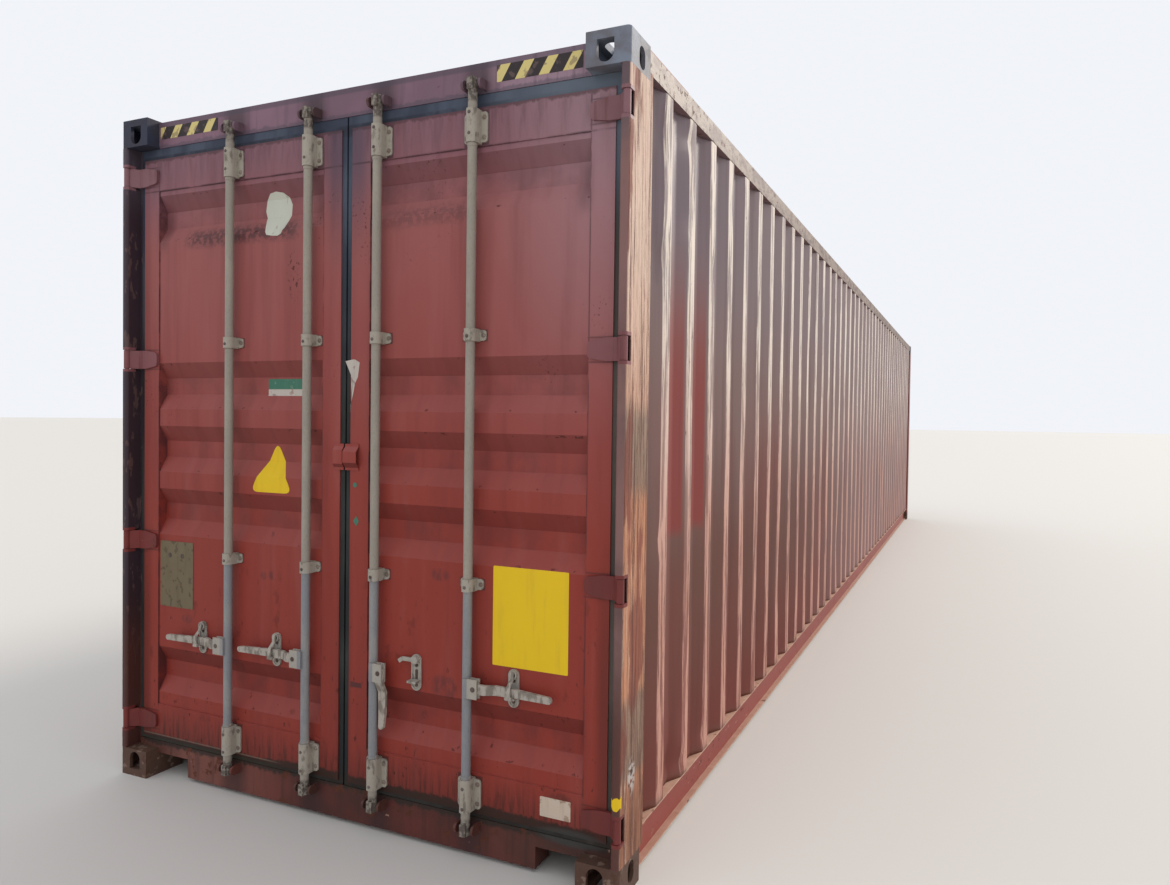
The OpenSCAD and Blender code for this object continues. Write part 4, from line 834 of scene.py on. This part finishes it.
# %% Push the knocks into the wall
# Place along from the door end, height, reach along and up, depth (in is positive), and how sharp:
# 2 is a round dent and 1 a crease.
KNOCKS = (
    (0.340, 2.66, 0.030, 0.09, 0.012, 2), (0.330, 2.22, 0.035, 0.09, 0.016, 2),
    (0.375, 1.19, 0.026, 0.035, 0.012, 2), (0.640, 2.72, 0.032, 0.05, 0.014, 1),
    (0.690, 2.56, 0.022, 0.06, 0.007, 2), (0.655, 2.38, 0.020, 0.05, 0.006, 2),
    (0.600, 0.34, 0.026, 0.11, -0.020, 1), (0.560, 0.27, 0.045, 0.05, 0.012, 2),
    (0.640, 0.22, 0.024, 0.05, 0.016, 2), (0.985, 2.26, 0.030, 0.06, 0.010, 2),
    (1.250, 2.60, 0.026, 0.10, 0.008, 2), (0.930, 0.24, 0.026, 0.05, 0.010, 2),
    (1.540, 1.30, 0.070, 0.30, 0.006, 2), (2.360, 0.70, 0.060, 0.25, 0.010, 2),
    (3.200, 1.90, 0.060, 0.35, 0.007, 2), (4.600, 0.60, 0.090, 0.30, 0.010, 2),
    (6.300, 1.40, 0.090, 0.40, 0.008, 2), (8.100, 0.80, 0.100, 0.35, 0.010, 2),
)
WAVE_SCALE, WAVE_DEPTH = 2.3, 0.0016
# Rows lie close together near the foot and the head, where the knocks are.
ROW_HEIGHTS = ([WALL_FOOT + 0.018 * i for i in range(18)] + [0.50 + 0.084 * i for i in range(20)]
               + [2.18 + 0.027 * i for i in range(24)] + [WALL_TOP])


def dented_inset(along, inset, height):
    """The wall's inset at a place, with its waves and knocks, which fade out at the welded edges."""
    rise = (height - WALL_FOOT) / (WALL_TOP - WALL_FOOT)
    from_end = min(along - WALL_START, LENGTH - WALL_START - along)
    hold = min(1, 40 * rise, 40 * (1 - rise), 12 * from_end)
    push = WAVE_DEPTH * noise.noise(Vector((along * WAVE_SCALE, inset * 9, height * WAVE_SCALE)))
    for place, level, reach, up_reach, depth, sharp in KNOCKS:
        away = math.hypot((along - place) / reach, (height - level) / up_reach)
        push += depth * math.exp(-away ** sharp)
    return max(CREST_INSET - 0.002, inset + hold * push)


def dented_wall():
    corners, faces = [], []
    for height in ROW_HEIGHTS:
        for along, inset in plan:
            corners.append((END_X + along, dented_inset(along, inset, height) - SIDE_Y, height))
    across = len(plan)
    for row in range(len(ROW_HEIGHTS) - 1):
        for i in range(across - 1):
            a = row * across + i
            faces.append((a, a + 1, a + 1 + across, a + across))
    wall = piece("scraped_side_wall", corners, faces, "container_frame", scraped_wall_finish,
                 "wall_paint", smooth=True)
    sheet = wall.modifiers.new("sheet", "SOLIDIFY")
    sheet.thickness = SHEET
    sheet.offset = -1
    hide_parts("right_side_wall")
    return wall


side_wall = dented_wall()
print("side wall:", len(side_wall.data.polygons), "faces before its thickness")

# %% [markdown]
# Bolts and rivets hold the lock gear. Each is a low dome on a thin washer, turned from a short
# profile: spinning a handful of points round an axis is cheaper and truer than a squashed sphere.

# %% Turn a bolt head from its profile
def turned(profile, middle, axis, sides=14):
    """A solid of revolution. Profile gives (radius, height) from the foot to the top."""
    axis = Vector(axis).normalized()
    across = axis.orthogonal().normalized()
    third = axis.cross(across)
    corners, faces = [], []
    for radius, height in profile:
        for i in range(sides):
            turn = 2 * math.pi * i / sides
            corners.append(Vector(middle) + axis * height
                           + (across * math.cos(turn) + third * math.sin(turn)) * radius)
    for ring in range(len(profile) - 1):
        for i in range(sides):
            a, b = ring * sides + i, ring * sides + (i + 1) % sides
            faces.append((a, b, b + sides, a + sides))
    faces.append(tuple(reversed(range(sides))))
    faces.append(tuple(range((len(profile) - 1) * sides, len(profile) * sides)))
    return corners, faces


def bolt_profile(radius):
    """Washer and domed head, a bolt's radius wide, sunk a little into what it holds."""
    washer = radius * 1.35
    dome = [(radius * out, radius * rise) for out, rise in ((0.97, 0.35), (0.72, 0.62), (0.3, 0.74))]
    return [(washer, -0.001), (washer, 0.0014), (radius, 0.0018)] + dome


print("bolt profile rings:", len(bolt_profile(0.008)))

# %% Bolt the rod brackets to the doors
BRACKET_EDGE, HOUSING_R = 0.014, 0.023
END_BRACKETS = ((DOOR_FOOT + BRACKET_EDGE, 1), (DOOR_HEAD - BRACKET_EDGE, -1))
MID_BRACKETS = (1.008, 1.911)
FLANGE_T = 0.006
TOWARDS_DOOR_END = (-1, 0, 0)
BOLT_R, RIVET_R = 0.0065, 0.0048
BOLT_RISES, PIN_RISES = (0.025, 0.096), (0.016, 0.090)
END_BOLT_OUT, MID_BOLT_OUT = 0.036, 0.039
MID_PIN_DROP = 0.006
HOUSING_FRONT = END_X + ROD_DEPTH - HOUSING_R + 0.001


def bracket_heads(rod_y):
    """Bolts through a rod's bracket flanges, and the dark pins in the front of their housings."""
    bolt_places, pin_places = [], []
    for edge, way in END_BRACKETS:
        bolt_places += [(END_X + DOOR_DEPTH - FLANGE_T, rod_y + side * END_BOLT_OUT, edge + way * rise)
                        for rise in BOLT_RISES for side in (-1, 1)]
        pin_places += [(HOUSING_FRONT, rod_y, edge + way * rise) for rise in PIN_RISES]
    for z in MID_BRACKETS:
        bolt_places += [(END_X + PANEL_DEPTH - FLANGE_T, rod_y + side * MID_BOLT_OUT, z)
                        for side in (-1, 1)]
        pin_places.append((HOUSING_FRONT, rod_y, z - MID_PIN_DROP))
    return ([turned(bolt_profile(BOLT_R), at, TOWARDS_DOOR_END) for at in bolt_places],
            [turned(bolt_profile(RIVET_R), at, TOWARDS_DOOR_END) for at in pin_places])


for rod, (rod_y, body) in enumerate(zip(ROD_Y, DOOR_OF_ROD), start=1):
    bolts, pins = bracket_heads(rod_y)
    piece(f"bracket_bolts_{rod}", *joined(bolts), body, bolt_finish, "door_gear")
    piece(f"bracket_pins_{rod}", *joined(pins), body, dark_finish, "dark_hardware")
print("bracket bolts:", len(ROD_Y) * len(bolts), "and pins:", len(ROD_Y) * len(pins))

# %% [markdown]
# A resting handle is held by a latch, a bent strap that hangs from the catch's eye and crosses in front
# of the bar. Each strap is a side profile swept along the width, like a folded flat bar, and rides on
# its handle, so that it leaves with it. The pin it turns on stays in the catch.

# %% Fold the latches over the resting handles
def swept(profile, low_y, high_y):
    """A folded strap: its outline in (depth, height), swept between two places across the door."""
    count = len(profile)
    corners = [Vector((END_X + d, y, z)) for y in (low_y, high_y) for d, z in profile]
    faces = [tuple(reversed(range(count))), tuple(range(count, 2 * count))]
    faces += [(i, (i + 1) % count, (i + 1) % count + count, i + count) for i in range(count)]
    return corners, faces


def strap(line, thick):
    """Outline of a strap along a line of (depth, height) points, thickened away from the door end."""
    return line + [(d + thick, z) for d, z in reversed(line)]


CATCH_OUT, HANDLE_Z, EYE_Z = 0.180, 0.640, 0.699
EYE_FRONT, HANDLE_FRONT = 0.046, 0.027
STRAP_T, STRAP_W, NOSE_PROUD = 0.0045, 0.017, 0.004
HELD_BY = {1: 1, 2: 1, 4: -1}
strap_line = [(HANDLE_FRONT - 0.010, HANDLE_Z - 0.019), (HANDLE_FRONT - 0.013, HANDLE_Z + 0.002),
              (HANDLE_FRONT - 0.010, HANDLE_Z + 0.022), (EYE_FRONT - 0.008, EYE_Z - 0.016),
              (EYE_FRONT - 0.005, EYE_Z + 0.012)]

nose_out, nose_in = HANDLE_FRONT - 0.012, HANDLE_FRONT - 0.0005
nose_foot, nose_head = HANDLE_Z - 0.024, HANDLE_Z - 0.012
nose_line = [(nose_out, nose_foot), (nose_out, nose_head), (nose_in, nose_head), (nose_in, nose_foot)]

for rod, way in HELD_BY.items():
    catch_y = ROD_Y[rod - 1] + way * CATCH_OUT
    arm = swept(strap(strap_line, STRAP_T), catch_y - STRAP_W / 2, catch_y + STRAP_W / 2)
    nose = swept(nose_line, catch_y - STRAP_W / 2 - NOSE_PROUD, catch_y + STRAP_W / 2 + NOSE_PROUD)
    latch = piece(f"latch_{rod}", *joined([arm, nose]), f"handle_{rod}", handle_finish, "door_gear")
    soften = latch.modifiers.new("soft_edges", "BEVEL")
    soften.width, soften.segments = 0.0015, 2
print("latches:", len(HELD_BY))

# %% Set pins in the catches and the hubs
HUB_FRONT, PIVOT_OUT = 0.002, 0.042
CATCH_PIN_Z, CATCH_PIN_R, EYE_PIN_R = (0.601, 0.676), 0.0055, 0.009
HUB_PIN_PROFILE = [(0.0095, -0.001), (0.0095, 0.0010), (0.006, 0.0016)]

for rod, (rod_y, body) in enumerate(zip(ROD_Y, DOOR_OF_ROD), start=1):
    way = 1 if rod_y > 0 else -1
    catch_y = rod_y + way * CATCH_OUT
    plate = END_X + PANEL_DEPTH - 0.003
    pins = [turned(bolt_profile(CATCH_PIN_R), (plate, catch_y, z), TOWARDS_DOOR_END) for z in CATCH_PIN_Z]
    pins.append(turned(bolt_profile(EYE_PIN_R), (plate - 0.0005, catch_y, EYE_Z), TOWARDS_DOOR_END))
    piece(f"catch_pins_{rod}", *joined(pins), body, dark_finish, "dark_hardware")
    pivot = turned(HUB_PIN_PROFILE, (END_X + HUB_FRONT, rod_y + way * PIVOT_OUT, HANDLE_Z),
                   TOWARDS_DOOR_END)
    piece(f"hub_pin_{rod}", *pivot, f"rod_{rod}", dark_finish, "dark_hardware")
print("catch and hub pins:", 4 * len(ROD_Y))

# %% [markdown]
# Bare plates and stickers cling to the doors. A sticker can lie across a recess, so each one is first
# drawn flat, then cut at the folds and pressed onto the panel's own profile, and last given a film's
# thickness. A plain Z offset wouldn't do, because it would bridge the folds.

# %% Follow the door panel's profile
def panel_depth(height):
    """Depth of the door panel's face behind the door end, at a height."""
    for middle in RECESS_MIDDLES:
        away = abs(height - middle)
        if away <= RECESS_FLAT / 2:
            return PANEL_DEPTH + RECESS_DEPTH
        if away <= RECESS_FLAT / 2 + RECESS_SLOPE:
            return PANEL_DEPTH + RECESS_DEPTH * (1 - (away - RECESS_FLAT / 2) / RECESS_SLOPE)
    return PANEL_DEPTH


FOLD_HEIGHTS = sorted(m + s * d for m in RECESS_MIDDLES for s in (-1, 1)
                      for d in (RECESS_FLAT / 2, RECESS_FLAT / 2 + RECESS_SLOPE))
FILM = 0.0006


def film(name, outline, body, finish, depth=None, thick=FILM):
    """A thin plate on the door end, outlined by (y, z), pressed onto the panel or flat at a depth."""
    flat = bmesh.new()
    flat.faces.new([flat.verts.new((0, y, z)) for y, z in outline])
    if depth is None:
        for height in FOLD_HEIGHTS:
            bmesh.ops.bisect_plane(flat, geom=flat.verts[:] + flat.edges[:] + flat.faces[:],
                                   plane_co=(0, 0, height), plane_no=(0, 0, 1))
    flat.verts.index_update()
    under = [panel_depth(v.co.z) if depth is None else depth for v in flat.verts]
    front = [Vector((END_X + at - thick, v.co.y, v.co.z)) for at, v in zip(under, flat.verts)]
    shape = [[v.index for v in face.verts] for face in flat.faces]
    rim = [(e.verts[0].index, e.verts[1].index) for e in flat.edges if e.is_boundary]
    flat.free()
    count = len(front)
    corners = front + [v + Vector((thick + 0.0004, 0, 0)) for v in front]
    faces = [tuple(f) for f in shape] + [tuple(i + count for i in reversed(f)) for f in shape]
    faces += [(a, b, b + count, a + count) for a, b in rim]
    return piece(name, corners, faces, body, finish, "door_paint")


print("folds at:", [round(h, 3) for h in FOLD_HEIGHTS[:4]], "...")

# %% Mix the sign finishes
def sign_paint(name, face, dirt, dirt_cover):
    f = Finish(name)
    cloud = f.grain(9, detail=5)
    base = f.mix(0.25 * cloud, face, dirt)
    streak = f.ramp(f.grain(14, detail=6, stretch=(1, 3, 0.3)), 0.52, 0.72)
    base = f.mix(0.3 * streak, base, dirt)
    worn = f.patches(30, dirt_cover, soft=0.02, detail=7, shift=5)
    base = f.mix(0.7 * worn, base, dirt)
    return f.done(base, 0.45 + 0.2 * cloud, bump=f.grain(60, detail=3), strength=0.2, distance=0.0005)


yellow_finish = sign_paint("sign_yellow", colour(234, 196, 22), colour(206, 166, 40), -0.6)
green_finish = sign_paint("sign_green", colour(52, 112, 92), colour(110, 140, 120), 0.05)
white_finish = sign_paint("sign_white", colour(196, 190, 180), colour(146, 112, 104), 0.10)
tan_finish = sign_paint("plate_tan", colour(116, 103, 78), colour(82, 68, 50), 0.1)
cream_finish = sign_paint("plate_cream", colour(206, 190, 172), colour(150, 120, 100), 0.08)
patch_finish = sign_paint("patch_white", colour(202, 204, 190), colour(168, 164, 152), -0.1)
print("sign finishes:", 6)

# %% Stick the bare plates on the doors
def rounded_box(y0, y1, z0, z1, r, steps=5):
    """Outline of an upright rectangle with rounded corners."""
    outline = []
    middles = ((y1 - r, z1 - r), (y0 + r, z1 - r), (y0 + r, z0 + r), (y1 - r, z0 + r))
    for (cy, cz), start in zip(middles, (0, 90, 180, 270)):
        for i in range(steps + 1):
            turn = math.radians(start + 90 * i / steps)
            outline.append((cy + r * math.cos(turn), cz + r * math.sin(turn)))
    return outline


def ragged(outline, size, seed):
    """The same outline with its corners moved a little, as a torn edge."""
    draw = random.Random(seed)
    return [(y + draw.uniform(-size, size), z + draw.uniform(-size, size)) for y, z in outline]


def around(middle, half_w, half_h, steps):
    """Outline of an upright oval."""
    return [(middle[0] + half_w * math.cos(2 * math.pi * i / steps),
             middle[1] + half_h * math.sin(2 * math.pi * i / steps)) for i in range(steps)]


def triangle(foot, width, height, r):
    """Outline of a triangle with rounded corners."""
    corners = [Vector((foot[0] - width / 2, foot[1])), Vector((foot[0] + width / 2, foot[1])),
               Vector((foot[0], foot[1] + height))]
    outline = []
    for before, corner, after in zip(corners[-1:] + corners[:-1], corners, corners[1:] + corners[:1]):
        a = corner + (before - corner).normalized() * r
        b = corner + (after - corner).normalized() * r
        for i in range(6):
            t = i / 5
            outline.append(tuple(a * (1 - t) ** 2 + corner * 2 * t * (1 - t) + b * t ** 2))
    return outline


film("yellow_sign", rounded_box(-0.990, -0.684, 0.722, 1.081, 0.004), "right_door", yellow_finish)
film("cream_plate", rounded_box(-1.009, -0.888, 0.214, 0.284, 0.004), "right_door", cream_finish,
     depth=DOOR_DEPTH)
film("tan_plate", rounded_box(0.842, 1.044, 0.760, 1.050, 0.006), "left_door", tan_finish, thick=0.002)
film("green_label", rounded_box(0.247, 0.445, 1.720, 1.762, 0.004), "left_door", green_finish)
film("white_label", rounded_box(0.247, 0.445, 1.692, 1.7195, 0.004), "left_door", white_finish)
film("white_patch", [(0.425, 2.353), (0.443, 2.392), (0.464, 2.459), (0.457, 2.503), (0.428, 2.527),
                     (0.394, 2.532), (0.358, 2.525), (0.335, 2.508), (0.319, 2.476), (0.322, 2.441),
                     (0.325, 2.409), (0.332, 2.376), (0.347, 2.352), (0.365, 2.345), (0.398, 2.348)],
     "left_door", patch_finish)
film("yellow_triangle", triangle((0.392, 1.292), 0.226, 0.210, 0.040), "left_door", yellow_finish)
# A dark film in the open catch's slot is painted shadow.
film("catch_slot_shadow", rounded_box(-0.3575, -0.3455, 0.622, 0.660, 0.003), "right_door", dark_finish,
     depth=PANEL_DEPTH - 0.003)
torn = [(0.000, 1.826), (-0.045, 1.832), (-0.071, 1.819), (-0.058, 1.765), (-0.050, 1.74),
        (-0.040, 1.70), (-0.026, 1.66), (-0.026, 1.628), (-0.027, 1.71), (-0.026, 1.77)]
film("torn_tape", ragged(torn, 0.003, 5), "right_door", white_finish, depth=DOOR_DEPTH)
TAN_RIVET_PROFILE = [(0.011, 0), (0.011, 0.001), (0.006, 0.0016)]
tan_rivets = [turned(TAN_RIVET_PROFILE, (END_X + PANEL_DEPTH - 0.002, y, 0.988), TOWARDS_DOOR_END)
              for y in (0.985, 0.907)]
piece("tan_plate_rivets", *joined(tan_rivets), "left_door", dark_finish, "dark_hardware")
for level, dot in (("upper", around((-0.050, 1.344), 0.010, 0.010, 12)),
                   ("lower", around((-0.057, 1.203), 0.014, 0.020, 4))):
    film(f"green_dot_{level}", dot, "right_door", green_finish, depth=DOOR_DEPTH)
print("bare plates and stickers:", 11)

# %% [markdown]
# A scrap of yellow tape is still wrapped round the right post's nose. It follows the nose's rounded
# outline in plan, so it is built from points along two quarter circles instead of a flat plate.

# %% Wrap the scrap of tape round the post's nose
NOSE_R, NOSE_W = 0.012, 0.034


def nose_plan(proud, steps=6):
    """Plan points (depth, inset) round a post's nose, from its inner side to its outer side."""
    line = []
    for inset, start in ((NOSE_W - NOSE_R, 0), (NOSE_R, 90)):
        for i in range(steps + 1):
            turn = math.radians(start + 90 * i / steps)
            radius = NOSE_R + proud
            line.append((NOSE_R - radius * math.sin(turn), inset + radius * math.cos(turn)))
    return line


def wrapped(low, high):
    """A band round the right post's nose; low and high give its edges' heights at each plan point."""
    outer, inner = nose_plan(0.0006), nose_plan(-0.0004)
    count = len(outer)
    corners = [Vector((END_X + d, inset - SIDE_Y, edge(i / (count - 1))))
               for line in (outer, inner) for edge in (low, high) for i, (d, inset) in enumerate(line)]
    faces = []
    for i in range(count - 1):
        a, b, c, d = i, count + i, 2 * count + i, 3 * count + i
        faces += [(a, a + 1, b + 1, b), (c, d, d + 1, c + 1),
                  (b, b + 1, d + 1, d), (a, c, c + 1, a + 1)]
    end = count - 1
    faces += [(0, count, 3 * count, 2 * count), (end, 2 * count + end, 3 * count + end, count + end)]
    return corners, faces


tape = wrapped(lambda t: 0.322 + 0.006 * math.sin(9 * t),
               lambda t: 0.352 + 0.012 * t + 0.004 * math.sin(14 * t))
piece("tape_scrap", *tape, "container_frame", yellow_finish, "door_paint")
print("tape corners:", len(tape[0]))

# %% [markdown]
# The castings are welded to the posts and beams. A weld is a bead of metal laid down in small ripples,
# so each one is a thin tube whose radius swells and shrinks along its length, half sunk in the joint.

# %% Lay the weld beads round the door end's castings
CASTING_TALL, CASTING_WIDE, WELD_R, WELD_SUNK = 0.118, 0.162, 0.0032, 0.0024
POST_DEPTH, BEAM_WELD_FOOT, BEAM_WELD_HEAD = 0.160, 2.786, 2.884


def bead(a, b, radius=WELD_R, sides=8, ripple=0.006):
    """A rippled tube from a to b, closed at both ends."""
    a, b = Vector(a), Vector(b)
    axis = (b - a).normalized()
    across = axis.orthogonal().normalized()
    third = axis.cross(across)
    rings = max(3, int((b - a).length / ripple * 2))
    corners, faces = [], []
    for ring in range(rings + 1):
        swell = radius * (0.86 + 0.14 * (ring % 2) + 0.12 * noise.noise(a + axis * ring * 0.05))
        for i in range(sides):
            turn = 2 * math.pi * i / sides
            corners.append(a + axis * (b - a).length * ring / rings
                           + (across * math.cos(turn) + third * math.sin(turn)) * swell)
    for ring in range(rings):
        for i in range(sides):
            c, d = ring * sides + i, ring * sides + (i + 1) % sides
            faces.append((c, d, d + sides, c + sides))
    faces += [tuple(reversed(range(sides))), tuple(range(rings * sides, (rings + 1) * sides))]
    return corners, faces


for name, side, finish in (("left", 1, left_post_finish), ("right", -1, right_post_finish)):
    beads = []
    front, outside = END_X + WELD_SUNK, side * (SIDE_Y - WELD_SUNK)
    nose_from, nose_to = side * (SIDE_Y - NOSE_R), side * (SIDE_Y - NOSE_W)
    for level in (CASTING_TALL, HEIGHT - CASTING_TALL):
        beads.append(bead((front, nose_from, level), (front, nose_to, level)))
        beads.append(bead((END_X + 0.014, outside, level), (END_X + POST_DEPTH, outside, level)))
    piece(f"post_welds_{name}", *joined(beads), "container_frame", finish, "frame_paint", smooth=True)
    edge, face = side * (SIDE_Y - CASTING_WIDE), END_X + BEAM_DEPTH + 0.001
    beam_beads = [bead((face, edge, BEAM_WELD_FOOT), (face, edge, BEAM_WELD_HEAD))]
    piece(f"header_welds_{name}", *joined(beam_beads), "container_frame", header_finish, "frame_paint",
          smooth=True)
print("weld beads:", 2 * (len(beads) + len(beam_beads)))

# %% [markdown]
# Yellow and black hazard stripes mark the header beside each top casting, because the box is a tall
# one. They are one thin plate each, and the stripes are a sum of height and width folded by FRACT, so
# they stay crisp at any distance.

# %% Paint the hazard stripes
STRIPE_LEAN, STRIPE_LEVEL = 0.62, 2.842


def hazard_paint(name, pitch, middle):
    """Slanted stripes; middle is where one yellow stripe crosses the plate's middle height."""
    f = Finish(name)
    turns = (f.y - middle + STRIPE_LEAN * (f.z - STRIPE_LEVEL)) / pitch + 0.5
    part = f.node("ShaderNodeMath", {"operation": "FRACT"}, {0: turns})
    stripe = f.ramp(abs(part - 0.5), 0.225, 0.205)
    cloud = f.grain(12, detail=5)
    base = f.mix(stripe, colour(52, 44, 46), colour(214, 196, 128))
    worn = f.patches(32, 0.12, soft=0.03, detail=7)
    base = f.over(base, 0.55 * worn, 112, 92, 88)
    return f.done(base, 0.5 + 0.2 * cloud, bump=cloud, strength=0.2, distance=0.0005)


film("hazard_stripes_right", rounded_box(-1.020, -0.677, 2.811, 2.871, 0.003), "container_frame",
     hazard_paint("hazard_right", 0.0955, -0.886), depth=BEAM_DEPTH)
film("hazard_stripes_left", rounded_box(0.702, 1.050, 2.816, 2.868, 0.003), "container_frame",
     hazard_paint("hazard_left", 0.1005, 0.852), depth=BEAM_DEPTH)
print("hazard stripes lean", STRIPE_LEAN, "m across for each metre up")

# %% [markdown]
# The stage is a wide pale floor under a soft white sky. A broad sun lamp behind and to the right rakes
# along the corrugated side, as low light does, and brings out its ribs, while the sky alone lights the
# doors. Levels are kept plain, so that a colour renders about as it was written.

# %% Light the stage
FLOOR_SIZE = 400
SKY, SKY_LIGHT = (0.93, 0.95, 1.0, 1), 0.95
SUN_AZIMUTH, SUN_HEIGHT, SUN_SOFTNESS, SUN_STRENGTH = -24, 26, 14, 2.2

ground = bpy.data.objects.new("stage_floor", bpy.data.meshes.new("stage_floor"))
half = FLOOR_SIZE / 2
ground.data.from_pydata(
    [(-half, -half, 0), (half, -half, 0), (half, half, 0), (-half, half, 0)], [], [(0, 1, 2, 3)])
bpy.context.scene.collection.objects.link(ground)
stage_paint = Finish("stage_paint")
wear(ground, stage_paint.done(colour(214, 211, 205), 0.9))

world = bpy.data.worlds.new("soft_sky")
bpy.context.scene.world = world
world.use_nodes = True
sky = world.node_tree.nodes["Background"]
sky.inputs["Color"].default_value = SKY
sky.inputs["Strength"].default_value = SKY_LIGHT

sun = bpy.data.objects.new("low_sun", bpy.data.lights.new("low_sun", "SUN"))
sun.data.energy = SUN_STRENGTH
sun.data.angle = math.radians(SUN_SOFTNESS)
sun.data.color = (1.0, 0.93, 0.84)
azimuth, height = math.radians(SUN_AZIMUTH), math.radians(SUN_HEIGHT)
level = math.cos(height)
towards_sun = Vector((level * math.cos(azimuth), level * math.sin(azimuth), math.sin(height)))
sun.rotation_mode = "QUATERNION"
sun.rotation_quaternion = towards_sun.to_track_quat("Z", "Y")
bpy.context.scene.collection.objects.link(sun)
print("sky", SKY_LIGHT, "sun", SUN_STRENGTH)

# %% [markdown]
# The dressed part has to keep the frame's size.
